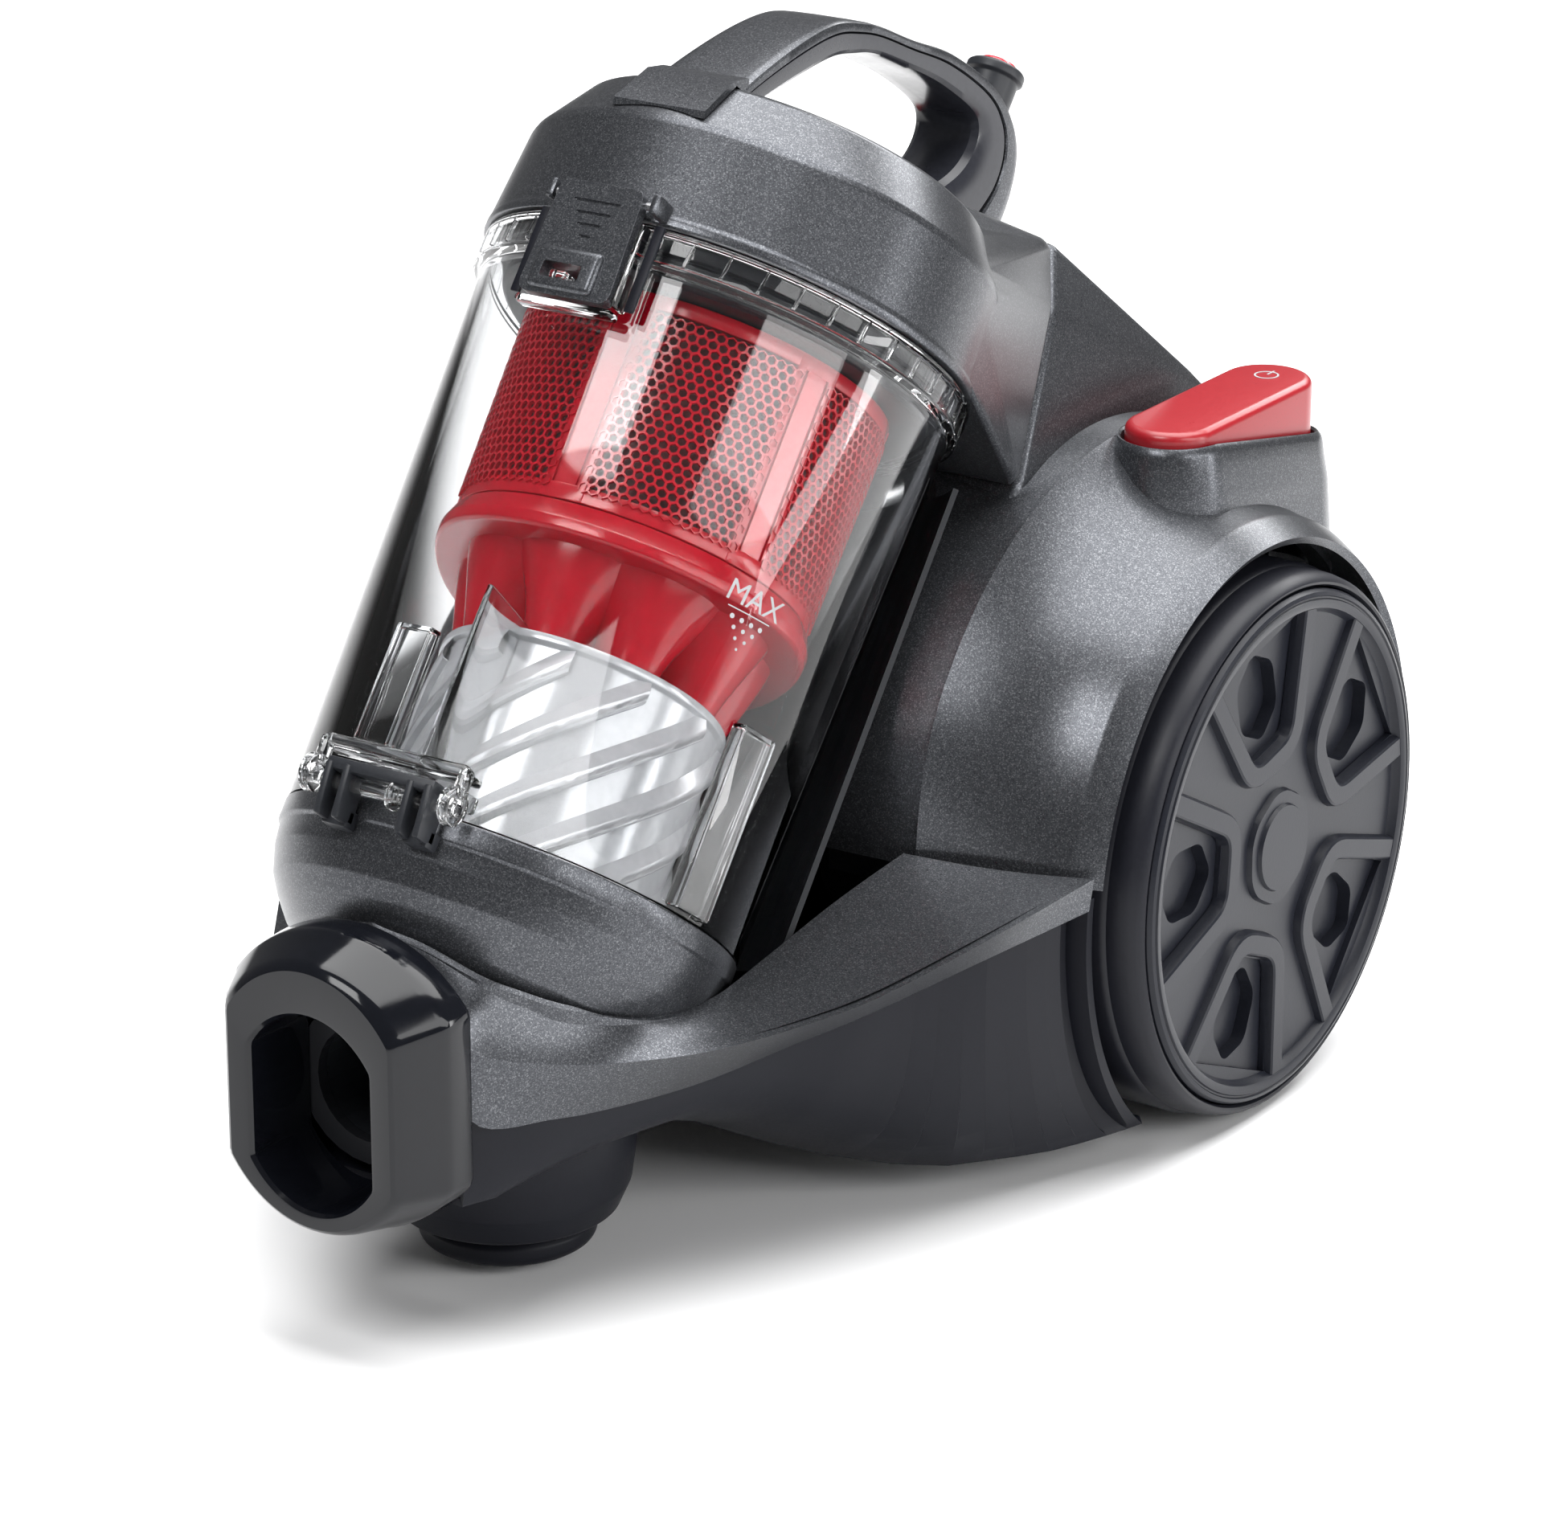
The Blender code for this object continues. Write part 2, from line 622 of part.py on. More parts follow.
# ---------------------------------------------------------------- works inside the housing
motor_housing = finish(
    "motor_housing",
    across(
        turned_ring(
            [(16, 0), (47, 0), (52, 8), (52, 74), (46, 86), (12, 86), (12, 83.5), (44.5, 83.5),
             (49.5, 73), (49.5, 9), (45.5, 2.5), (16, 2.5)], 28
        ),
        -8, MOTOR_Y, 74,
    ),
    COPPER,
    pivot=(-8, MOTOR_Y, 74),
)
finish("motor_shaft", across(turned([(4, 0), (4, 84)], 16), -2, MOTOR_Y, 74), STEEL,
       pivot=(-2, MOTOR_Y, 74))
finish(
    "motor_impeller",
    across(turned_ring([(4.3, 0), (40, 0), (40, 2), (12, 10), (4.3, 10)], 32), 2, MOTOR_Y, 74),
    STEEL,
    pivot=(2, MOTOR_Y, 74),
)
finish(
    "motor_core",
    across(turned_ring([(10, 0), (38, 0), (38, 42), (10, 42)], 24), 22, MOTOR_Y, 74),
    STEEL,
)
motor_mount = finish(
    "motor_mount", box((-6, MOTOR_Y - 38, 14.6), (76, MOTOR_Y + 38, 22), 1.0), RUBBER
)
cut(motor_mount, across(turned([(52.4, -30), (52.4, 120)], 40), 0, MOTOR_Y, 74))
finish(
    "cord_reel_drum",
    across(
        turned_ring(
            [(7, 0), (58, 0), (58, 2.4), (24, 2.4), (24, 45), (58, 45), (58, 47.4), (7, 47.4)],
            28,
        ),
        -74, MOTOR_Y, 80,
    ),
    DARK,
    pivot=(-50, MOTOR_Y, 80),
)
finish("reel_axle", across(turned([(6.5, 0), (6.5, 56)], 20), -78, MOTOR_Y, 80), STEEL)
finish("power_switch", box((84, 120, 168), (94, 142, 171.6)), BLACK)

# ---------------------------------------------------------------- bin, drawn upright
bin_cylinder = finish(
    "bin_cylinder",
    turned_ring(
        [
            (BIN_FOOT_RADIUS - BIN_WALL, 0), (BIN_FOOT_RADIUS, 0), (72.8, 165.2),
            (BIN_COLLAR_RADIUS, 166.4), (BIN_COLLAR_RADIUS, BIN_HEIGHT),
            (71.2, BIN_HEIGHT), (71.2, 166), (72.8 - BIN_WALL, 164),
        ],
        40,
    ),
    CLEAR,
    BIN_FRAME,
)
HINGE_W, HINGE_S = DOOR_HINGE
for side in (-1, 1):
    lug = across(turned([(5.2, 0), (5.2, 4)], 20), side * 24 - 2, -HINGE_W, HINGE_S + 2)
    add(bin_cylinder, lug, BIN_FRAME)
    add(bin_cylinder, box((side * 24 - 2, -HINGE_W, 0.4), (side * 24 + 2, -63.6, 7)), BIN_FRAME)
cut(bin_cylinder, across(turned([(2.2, -40), (2.2, 40)], 16), 0, -HINGE_W, HINGE_S), BIN_FRAME)
cut(bin_cylinder, box((-13, 55, 112), (13, 90, 140)), BIN_FRAME)

bin_door = finish(
    "bin_door",
    turned([(46, -38.5), (51, -37.2), (56.4, -33), (64.5, -22.5), (68.2, -12), (69, -0.4)], 40),
    GREY,
    BIN_FRAME,
    pivot=(0, -HINGE_W, HINGE_S),
)
cut(bin_door, turned([(46, -36), (61.5, -22.5), (65.4, -12), (66.2, 5)], 32), BIN_FRAME)
for side in (-1, 1):
    add(
        bin_door,
        across(turned([(3.6, 0), (3.6, 6)], 20), side * 14 - 3, -HINGE_W, HINGE_S),
        BIN_FRAME,
    )
    add(bin_door, box((side * 14 - 3, -78.2, -12), (side * 14 + 3, -71.6, -0.6)), BIN_FRAME)
    add(bin_door, box((side * 14 - 3, -77, -12), (side * 14 + 3, -65, -4)), BIN_FRAME)
cut(bin_door, across(turned([(2.1, -40), (2.1, 40)], 16), 0, -HINGE_W, HINGE_S), BIN_FRAME)
finish(
    "door_hinge_pin",
    across(turned([(1.8, 0), (1.8, 54)], 14), -27, -HINGE_W, HINGE_S),
    STEEL,
    BIN_FRAME,
)
finish(
    "door_seal",
    turned_ring([(62.2, -4.4), (65.2, -4.4), (65.2, -0.4), (62.2, -0.4)], 28),
    RUBBER,
    BIN_FRAME,
)
finish(
    "fine_dust_cup",
    turned_ring([(42.4, 1), (44, 1), (44, 66), (42.4, 66)], 32),
    MILKY,
    BIN_FRAME,
)
cyclone_cones = finish(
    "cyclone_cones",
    turned_ring([(38, 66.4), (43.4, 66.4), (46.8, 90.6), (38, 90.6)], 28),
    RED,
    BIN_FRAME,
)
finish(
    "cyclone_skirt",
    turned_ring([(38, 91), (58.6, 91), (58.6, 94), (55.8, 100), (38, 100)], 32),
    RED,
    BIN_FRAME,
)
finish(
    "cyclone_shroud",
    turned_ring([(52.8, 100.4), (55.4, 100.4), (55.4, 164.6), (52.8, 164.6)], 32),
    RED,
    BIN_FRAME,
)
finish(
    "shroud_collar",
    turned_ring(
        [(44, 165), (66.2, 165), (66.2, 171), (69.6, 172), (69.6, 177.2), (44, 177.2)], 32
    ),
    DARK,
    BIN_FRAME,
)
# ---------------------------------------------------------------- lid with its handle
lid = finish(
    "lid",
    turned([(76.3, BIN_HEIGHT + 0.6), (76.3, 181), (73.4, 210), (62, 228), (40, 229.4)], 40),
    GREY,
    BIN_FRAME,
)
shoulder = [(x, SEAM - GAP, s) for x, _, s in seam_section(0.0)]
shoulder += [
    (sign * x, y, s) for sign in (-1, 1) for x, y, s in ((50, -8, 228), (72.5, 2, 210), (75, 2, 184))
]
add(lid, hull(shoulder), BIN_FRAME)
cut(lid, turned([(76.0, 100), (76.0, BIN_HEIGHT + 0.6)], 40), BIN_FRAME)
cut(lid, turned([(70, 150), (70, 205), (58, 222)], 32), BIN_FRAME)
cut(lid, polar_patch(spread(-110, 110, 22), spread(60, 160, 20), 0.6, 60.0))
finish(
    "lid_seal",
    turned_ring([(66.4, 177.6), (69.7, 177.6), (69.7, 181.2), (66.4, 181.2)], 32),
    RUBBER,
    BIN_FRAME,
)
finish("lid_filter", turned([(60, 181.6), (60, 196)], 28), FOAM, BIN_FRAME)
finish(
    "filter_cover",
    turned_ring([(30, 197), (62, 197), (62, 203), (30, 203)], 28),
    RED,
    BIN_FRAME,
)

# Side view of the handle in the bin's frame: outer point, inner point and half width
HANDLE = [
    ((66.5, 214.5), (56.0, 218.0), 16.0), ((53.2, 234.6), (45.5, 229.5), 15.2),
    ((36.0, 255.3), (28.9, 246.4), 14.2), ((22.4, 267.9), (15.5, 259.0), 13.4),
    ((10.0, 274.6), (6.0, 265.0), 13.0), ((-1.9, 279.0), (-5.0, 270.6), 13.0),
    ((-20.5, 284.0), (-23.0, 275.6), 13.0), ((-43.8, 291.0), (-43.0, 280.0), 13.0),
    ((-71.3, 294.0), (-64.0, 282.0), 13.0), ((-88.6, 290.3), (-71.0, 279.6), 13.0),
    ((-98.4, 283.2), (-72.5, 272.0), 13.0), ((-103.0, 272.0), (-68.0, 262.0), 13.0),
    ((-103.6, 259.6), (-54.0, 247.0), 13.0),
]


def handle_shell(near, far, width_scale):
    """Loft of rounded sections between two depths, from the outer face to the inner."""
    rings = []
    for outer, inner, half_width in HANDLE:
        outer, inner = Vector(outer), Vector(inner)
        half_width *= width_scale
        edge = 0.16 if near == 0.0 else 0.0
        depths = (
            (half_width, far), (half_width, near + edge), (half_width * 0.8, near),
            (-half_width * 0.8, near), (-half_width, near + edge), (-half_width, far),
        )
        ring = []
        for x, depth in depths:
            w, s = outer.lerp(inner, depth)
            ring.append((x, -w, s))
        rings.append(ring)
    return loft(rings)


handle_top = finish("handle_top", handle_shell(0.0, 0.3, 1.0), GREY, BIN_FRAME)
handle_under = finish("handle_under", handle_shell(0.34, 1.0, 0.97), GLOSS, BIN_FRAME)
FOOT_WEDGE = (
    (15.5, 71.4, 212.8), (15.5, 72.0, 215.5), (15.2, 62.2, 230.8), (15.0, 54.0, 234.0),
    (15.0, 54.0, 229.0), (15.5, 66.0, 212.8),
)
wedge = hull([(sign * x, -w, s) for sign in (-1, 1) for x, w, s in FOOT_WEDGE])
add(handle_top, wedge, BIN_FRAME)
for shell in (handle_top, handle_under):
    cut(shell, turned([(74.3, 195), (73.9, 210.3), (62.3, 228.4), (40, 229.9)], 40), BIN_FRAME)
    cut(shell, turned([(8.4, STUB_FOOT_S - 0.5), (8.4, 320)], 24, (0, BUTTON_SETBACK)), BIN_FRAME)
button_collar = finish(
    "button_collar",
    turned_ring(
        [(7.2, STUB_FOOT_S), (8.1, STUB_FOOT_S), (8.1, 302.9), (9.4, 303.4), (9.4, 306.6),
         (7.2, 306.6)], 28
    ),
    GREY,
    BIN_FRAME,
)
release_button = finish(
    "release_button",
    turned([(6.2, 298), (6.8, 299), (6.8, 307.4), (5.9, 308.6)], 28),
    RED,
    BIN_FRAME,
)
finish(
    "button_spring",
    turned_ring([(3.2, 292.6), (4.4, 292.6), (4.4, 293.8), (3.2, 293.8)], 16),
    STEEL,
    BIN_FRAME,
)
for piece in (button_collar, release_button, bpy.data.objects["button_spring"]):
    piece.location.y = BUTTON_SETBACK * MM

# ---------------------------------------------------------------- lid latch at the front
LATCH_W, LATCH_S = LATCH_HINGE
LATCH_FOOT_S, LATCH_HEAD_S = LATCH_S - 32, LATCH_S + 3.5
LATCH_PROFILE = (
    (15.5, 76.8, LATCH_FOOT_S), (15.5, 80.5, LATCH_FOOT_S), (14, 82.4, LATCH_FOOT_S + 3),
    (14, 81.6, LATCH_S + 1), (15.5, 76.8, LATCH_S - 1), (15.5, 78.4, LATCH_S + 2.2),
    (15.5, 79.6, LATCH_HEAD_S),
)
lid_latch = finish(
    "lid_latch",
    hull([(sign * x, -w, s) for sign in (-1, 1) for x, w, s in LATCH_PROFILE]),
    GREY,
    BIN_FRAME,
    pivot=(0, -LATCH_W, LATCH_S),
)
cut(lid_latch, box((-6, -90, LATCH_FOOT_S + 6), (6, -70, LATCH_FOOT_S + 11)), BIN_FRAME)
cut(lid_latch, across(turned([(1.5, -30), (1.5, 30)], 14), 0, -LATCH_W, LATCH_S), BIN_FRAME)
finish(
    "latch_pin",
    across(turned([(1.2, 0), (1.2, 36)], 12), -18, -LATCH_W, LATCH_S),
    STEEL,
    BIN_FRAME,
)
for side in (-1, 1):
    lug_x = side * 17.6
    lug = box((lug_x - 1.4, -LATCH_W - 2, LATCH_S - 2.6), (lug_x + 1.4, -71, LATCH_S + 3))
    add(lid, lug, BIN_FRAME)
    cut(lid, across(turned([(1.5, -30), (1.5, 30)], 14), 0, -LATCH_W, LATCH_S), BIN_FRAME)
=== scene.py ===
import math

import bmesh
import bpy
from mathutils import Matrix, Vector


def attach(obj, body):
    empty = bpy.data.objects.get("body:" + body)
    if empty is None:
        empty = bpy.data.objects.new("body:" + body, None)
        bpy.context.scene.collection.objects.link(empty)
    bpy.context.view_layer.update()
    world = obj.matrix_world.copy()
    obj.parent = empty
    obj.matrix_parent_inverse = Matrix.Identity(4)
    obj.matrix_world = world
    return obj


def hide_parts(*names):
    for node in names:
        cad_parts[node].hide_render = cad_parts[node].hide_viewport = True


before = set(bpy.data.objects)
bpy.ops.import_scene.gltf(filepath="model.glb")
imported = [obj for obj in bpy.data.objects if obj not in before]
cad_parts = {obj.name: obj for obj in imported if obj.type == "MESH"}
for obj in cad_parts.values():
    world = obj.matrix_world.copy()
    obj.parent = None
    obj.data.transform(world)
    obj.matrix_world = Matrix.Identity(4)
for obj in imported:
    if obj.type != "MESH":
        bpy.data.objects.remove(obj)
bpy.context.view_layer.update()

# ---------------------------------------------------------------- studio
# A pale seamless floor under a large overhead softbox. Two panels that lean as the bin leans
# draw the long streaks down its clear wall, and a strip at the right lights the lid's side.
camera_lens = bpy.data.cameras.new("camera")
camera_lens.lens = 132.9
camera_lens.sensor_width = 36.0
camera_lens.shift_x = 0.0039
camera_lens.shift_y = 0.0006
camera = bpy.data.objects.new("camera", camera_lens)
camera.matrix_world = Matrix(
    (
        (0.8300, -0.1953, 0.5224, 0.9239),
        (0.5577, 0.2907, -0.7775, -1.3446),
        (0.0, 0.9367, 0.3502, 0.7248),
        (0.0, 0.0, 0.0, 1.0),
    )
)
bpy.context.collection.objects.link(camera)
bpy.context.scene.camera = camera
bpy.context.scene.view_settings.view_transform = "Standard"

studio_world = bpy.data.worlds.new("studio")
studio_world.use_nodes = True
studio_world.node_tree.nodes["Background"].inputs["Color"].default_value = (1, 1, 1, 1)
studio_world.node_tree.nodes["Background"].inputs["Strength"].default_value = 0.16
bpy.context.scene.world = studio_world


def softbox(name, place, aim, width, height, watts, along=(0, 0, 1)):
    """Rectangular light at a place in metres, turned to face a point, its height laid along."""
    lamp = bpy.data.lights.new(name, "AREA")
    lamp.shape = "RECTANGLE"
    lamp.size = width
    lamp.size_y = height
    lamp.energy = watts
    light = bpy.data.objects.new(name, lamp)
    back = (Vector(place) - Vector(aim)).normalized()
    across = Vector(along).cross(back).normalized()
    upward = back.cross(across)
    facing = Matrix((across, upward, back)).transposed().to_4x4()
    light.matrix_world = Matrix.Translation(place) @ facing
    bpy.context.collection.objects.link(light)


BIN_AXIS = (0, 0.618, 0.786)
softbox("overhead_softbox", (0.1, 0.5, 2.2), (0, 0, 0), 2.4, 2.2, 120, (0, 1, 0))
softbox("left_high_panel", (-0.1, -1.35, 1.75), (0, -0.05, 0.2), 0.9, 0.8, 26, BIN_AXIS)
softbox("right_panel", (1.85, -0.3, 0.95), (0, -0.05, 0.2), 1.5, 0.8, 20, BIN_AXIS)
softbox("right_strip", (1.9, 0.72, 0.3), (0, 0, 0.2), 0.3, 1.0, 12)
softbox("rear_softbox", (0.2, 2.0, 1.3), (0, 0, 0.2), 1.6, 0.5, 26)

floor_shape = bmesh.new()
bmesh.ops.create_grid(floor_shape, x_segments=1, y_segments=1, size=9.0)
bmesh.ops.translate(floor_shape, vec=(0, 0, -0.0002), verts=floor_shape.verts)
floor_mesh = bpy.data.meshes.new("studio_floor")
floor_shape.to_mesh(floor_mesh)
floor_shape.free()
floor_paint = bpy.data.materials.new("pale_floor_paint")
floor_paint.use_nodes = True
floor_nodes = floor_paint.node_tree.nodes
floor_mottle = floor_nodes.new("ShaderNodeTexNoise")
floor_mottle.inputs["Scale"].default_value = 3.0
floor_tint = floor_nodes.new("ShaderNodeValToRGB")
floor_tint.color_ramp.elements[0].color = (0.88, 0.88, 0.885, 1)
floor_tint.color_ramp.elements[1].color = (0.92, 0.92, 0.92, 1)
floor_paint.node_tree.links.new(floor_mottle.outputs["Fac"], floor_tint.inputs["Fac"])
floor_paint.node_tree.links.new(
    floor_tint.outputs["Color"], floor_nodes["Principled BSDF"].inputs["Base Color"]
)
floor_nodes["Principled BSDF"].inputs["Roughness"].default_value = 0.6
floor_mesh.materials.append(floor_paint)
studio_floor = bpy.data.objects.new("studio_floor", floor_mesh)
bpy.context.collection.objects.link(studio_floor)

# ---------------------------------------------------------------- main housing
# The upper body is one thin-walled moulding in satin metallic grey, wrapped round the wheels'
# axle: a crowned back, a hollow flank on each side and an arch over each wheel. Two pedal
# pockets are moulded into the flanks and the bin drops into a round recess at the front.
MM = 0.001
AXLE_Y = 100.3
AXLE_Z = 86.0
HALF_LENGTH = 202.0
CREASE_X = 78.0
ARCH_RIDGE_X = 121.0
ARCH_LIP_X = 129.6
ARCH_X = 130.0
ARCH_RADIUS = 98.5
BACK_RADIUS = 122.0
BACK_CROWN = 3.0
REAR_RADIUS = HALF_LENGTH - AXLE_Y - BACK_CROWN - 0.6
HOUSING_WALL = 2.8
BIN_PLACE = Matrix.Translation((0, -106.4, 111.9)) @ Matrix.Rotation(math.radians(-38.15), 4, "X")
BIN_CLEARANCE_RADIUS = 81.5
WHEEL_WELL_RADIUS = 95.2
WELL_X = (92.0, 140.0)
VENT_WINDOW = ((-43, 160.3, 68), (43, 260, 147))
OUTLET_PLACE = (-68, 200, 74)
OUTLET_RADIUS = 9.3


def moulded(
    name, colour, roughness, metallic=0.0, grain=0.0007, colour_play=0.08,
    roughness_play=0.05, relief=0.06, flake=0.0, shine=0.5,
):
    """Moulded plastic: a fine grain in its colour, gloss and surface, with bright flakes."""
    material = bpy.data.materials.new(name)
    material.use_nodes = True
    nodes = material.node_tree.nodes
    links = material.node_tree.links
    shader = nodes["Principled BSDF"]
    shader.inputs["Metallic"].default_value = metallic
    shader.inputs["Specular IOR Level"].default_value = shine
    place = nodes.new("ShaderNodeTexCoord")
    noise = nodes.new("ShaderNodeTexNoise")
    noise.inputs["Scale"].default_value = 1 / grain
    noise.inputs["Detail"].default_value = 2.0
    links.new(place.outputs["Object"], noise.inputs["Vector"])
    tint = nodes.new("ShaderNodeValToRGB")
    tint.color_ramp.elements[0].position = 0.3
    tint.color_ramp.elements[0].color = (*(part * (1 - colour_play) for part in colour), 1)
    tint.color_ramp.elements[1].position = 0.7
    tint.color_ramp.elements[1].color = (
        *(min(part * (1 + colour_play) + flake * 0.2, 1) for part in colour), 1
    )
    links.new(noise.outputs["Fac"], tint.inputs["Fac"])
    links.new(tint.outputs["Color"], shader.inputs["Base Color"])
    if flake:
        speck = nodes.new("ShaderNodeTexVoronoi")
        speck.inputs["Scale"].default_value = 1.6 / grain
        links.new(place.outputs["Object"], speck.inputs["Vector"])
        split = nodes.new("ShaderNodeSeparateColor")
        links.new(speck.outputs["Color"], split.inputs["Color"])
        bright = nodes.new("ShaderNodeMapRange")
        bright.inputs["From Min"].default_value = 0.72
        bright.inputs["From Max"].default_value = 1.0
        bright.inputs["To Max"].default_value = flake
        links.new(split.outputs["Red"], bright.inputs["Value"])
        blend = nodes.new("ShaderNodeMix")
        blend.data_type = "RGBA"
        blend.inputs["B"].default_value = (0.75, 0.77, 0.8, 1)
        links.new(bright.outputs["Result"], blend.inputs["Factor"])
        links.new(tint.outputs["Color"], blend.inputs["A"])
        links.new(blend.outputs["Result"], shader.inputs["Base Color"])
    gloss = nodes.new("ShaderNodeMapRange")
    gloss.inputs["To Min"].default_value = max(roughness - roughness_play, 0.0)
    gloss.inputs["To Max"].default_value = roughness + roughness_play
    links.new(noise.outputs["Fac"], gloss.inputs["Value"])
    links.new(gloss.outputs["Result"], shader.inputs["Roughness"])
    if relief:
        bump = nodes.new("ShaderNodeBump")
        bump.inputs["Strength"].default_value = relief
        bump.inputs["Distance"].default_value = 0.0002
        links.new(noise.outputs["Fac"], bump.inputs["Height"])
        links.new(bump.outputs["Normal"], shader.inputs["Normal"])
    return material


casing_grey = moulded(
    "satin_metallic_grey", (0.042, 0.0445, 0.051), 0.3, metallic=0.7, grain=0.0005,
    colour_play=0.14, roughness_play=0.06, relief=0.05, flake=0.12, shine=0.35,
)


def piece(name, shape, material, lean=False, sharp=32.0):
    """Object from a shape in millimetres, stood upright or leant as the bin leans."""
    if lean:
        leant(shape)
    bmesh.ops.scale(shape, vec=(MM, MM, MM), verts=shape.verts)
    mesh = bpy.data.meshes.new(name)
    shape.to_mesh(mesh)
    shape.free()
    mesh.shade_smooth()
    mesh.set_sharp_from_angle(angle=math.radians(sharp))
    mesh.materials.append(material)
    made = bpy.data.objects.new(name, mesh)
    bpy.context.collection.objects.link(made)
    return made


def close_up(shape):
    """Weld the seams of a closed shape and turn its faces outwards."""
    bmesh.ops.remove_doubles(shape, verts=shape.verts, dist=0.004)
    bmesh.ops.dissolve_degenerate(shape, edges=shape.edges, dist=0.004)
    bmesh.ops.recalc_face_normals(shape, faces=shape.faces)
    if shape.calc_volume(signed=True) < 0:
        bmesh.ops.reverse_faces(shape, faces=shape.faces)
    return shape


def skin(rows, columns, place):
    """Grid whose corners (u, v) from 0 to 1 are laid on a surface by place(u, v)."""
    shape = bmesh.new()
    bmesh.ops.create_grid(shape, x_segments=rows, y_segments=columns, size=0.5)
    for vert in shape.verts:
        vert.co = place(vert.co.x + 0.5, vert.co.y + 0.5)
    return shape


def walled(shape, thickness):
    """Give a skin its wall, on the side that its faces turn their backs to."""
    bmesh.ops.remove_doubles(shape, verts=shape.verts, dist=0.004)
    bmesh.ops.recalc_face_normals(shape, faces=shape.faces)
    bmesh.ops.solidify(shape, geom=shape.faces[:], thickness=thickness)
    return close_up(shape)


def between(low, high, share):
    return low + (high - low) * share


def smooth_step(value):
    value = min(max(value, 0.0), 1.0)
    return value * value * (3 - 2 * value)


def carve(body, tool, operation="DIFFERENCE"):
    """Cut one closed shape out of another, or join the two as one moulding."""
    sides = []
    for shape in (body, tool):
        mesh = bpy.data.meshes.new("carved")
        shape.to_mesh(mesh)
        shape.free()
        side = bpy.data.objects.new("carved", mesh)
        bpy.context.collection.objects.link(side)
        sides.append(side)
    boolean = sides[0].modifiers.new("carve", "BOOLEAN")
    boolean.operation = operation
    boolean.solver = "EXACT"
    boolean.object = sides[1]
    view = bpy.context.evaluated_depsgraph_get()
    result = bmesh.new()
    result.from_mesh(sides[0].evaluated_get(view).to_mesh())
    for side in sides:
        mesh = side.data
        bpy.data.objects.remove(side)
        bpy.data.meshes.remove(mesh)
    bmesh.ops.remove_doubles(result, verts=result.verts, dist=0.002)
    return result


def rounded(shape, edges, offset, segments):
    """Round some edges of a shape over."""
    bmesh.ops.bevel(
        shape, geom=edges, offset=offset, offset_type="OFFSET", segments=segments,
        profile=0.5, affect="EDGES", material=-1,
    )


def verts_of(items):
    return [item for item in items if isinstance(item, bmesh.types.BMVert)]


def leant(shape):
    """Stand a shape drawn in the bin's own frame in its place on the machine."""
    bmesh.ops.transform(shape, matrix=BIN_PLACE, verts=shape.verts)
    return shape


def turned(shape, degrees):
    """Turn a shape about Z."""
    bmesh.ops.rotate(
        shape, cent=(0, 0, 0), verts=shape.verts,
        matrix=Matrix.Rotation(math.radians(degrees), 3, "Z"),
    )
    return shape


def shifted(shape, x, y, z):
    bmesh.ops.translate(shape, vec=(x, y, z), verts=shape.verts)
    return shape


def turn(profile, steps=96, closed=True, fillet=0.0, fillet_steps=3):
    """Body turned about Z from an outline of (radius, height) points, corners rounded."""
    shape = bmesh.new()
    corners = [shape.verts.new((radius, 0, height)) for radius, height in profile]
    for pair in zip(corners, corners[1:]):
        shape.edges.new(pair)
    if closed:
        shape.edges.new((corners[-1], corners[0]))
    if fillet:
        bends = [vert for vert in corners if len(vert.link_edges) == 2]
        bmesh.ops.bevel(
            shape, geom=bends + shape.edges[:], offset=fillet, offset_type="OFFSET",
            segments=fillet_steps, profile=0.5, affect="VERTICES", material=-1, clamp_overlap=True,
        )
    bmesh.ops.spin(
        shape, geom=shape.verts[:] + shape.edges[:], axis=(0, 0, 1), cent=(0, 0, 0),
        angle=math.tau, steps=steps, use_merge=True, use_duplicate=False,
    )
    return close_up(shape)


def block(low, high, round_off=0.0, round_steps=2):
    """Box between two corners with rounded edges."""
    shape = bmesh.new()
    bmesh.ops.create_cube(shape, size=1.0)
    for vert in shape.verts:
        vert.co = [between(a, b, c + 0.5) for a, b, c in zip(low, high, vert.co)]
    if round_off:
        rounded(shape, shape.edges[:], round_off, round_steps)
    return shape


def join(*shapes):
    """Several shapes kept as one mesh."""
    whole = shapes[0]
    for shape in shapes[1:]:
        mesh = bpy.data.meshes.new("joined")
        shape.to_mesh(mesh)
        shape.free()
        whole.from_mesh(mesh)
        bpy.data.meshes.remove(mesh)
    return whole


def edge_bevel(made, width, steps=2, angle=32.0):
    """Round a piece's sharp edges by so many millimetres."""
    bevel = made.modifiers.new("edge", "BEVEL")
    bevel.width = width * MM
    bevel.segments = steps
    bevel.limit_method = "ANGLE"
    bevel.angle_limit = math.radians(angle)
    bevel.harden_normals = True
    bevel.use_clamp_overlap = True
    return made


def casing_radius(x, angle):
    """Radius about the axle; the angle rises from the rear over the top to the front."""
    flank = between(REAR_RADIUS, BACK_RADIUS, smooth_step(angle / 55))
    flank -= 7 * smooth_step((angle - 145) / 35)
    reach = abs(x)
    if reach <= CREASE_X:
        return flank + BACK_CROWN * (1 - (reach / CREASE_X) ** 2)
    slope = min(reach, ARCH_RIDGE_X)
    fall = (1 - (slope - CREASE_X) / (ARCH_X - CREASE_X)) ** 2.2
    chamfer = max(reach - ARCH_RIDGE_X, 0.0) / (ARCH_LIP_X - ARCH_RIDGE_X)
    return ARCH_RADIUS + (flank - ARCH_RADIUS) * fall + 0.6 - 5.2 * chamfer ** 1.15


def casing_point(x, angle, outset=0.0):
    radius = casing_radius(x, angle) + outset
    turned_by = math.radians(angle)
    return Vector(
        (x, AXLE_Y + radius * math.cos(turned_by), AXLE_Z + radius * math.sin(turned_by))
    )


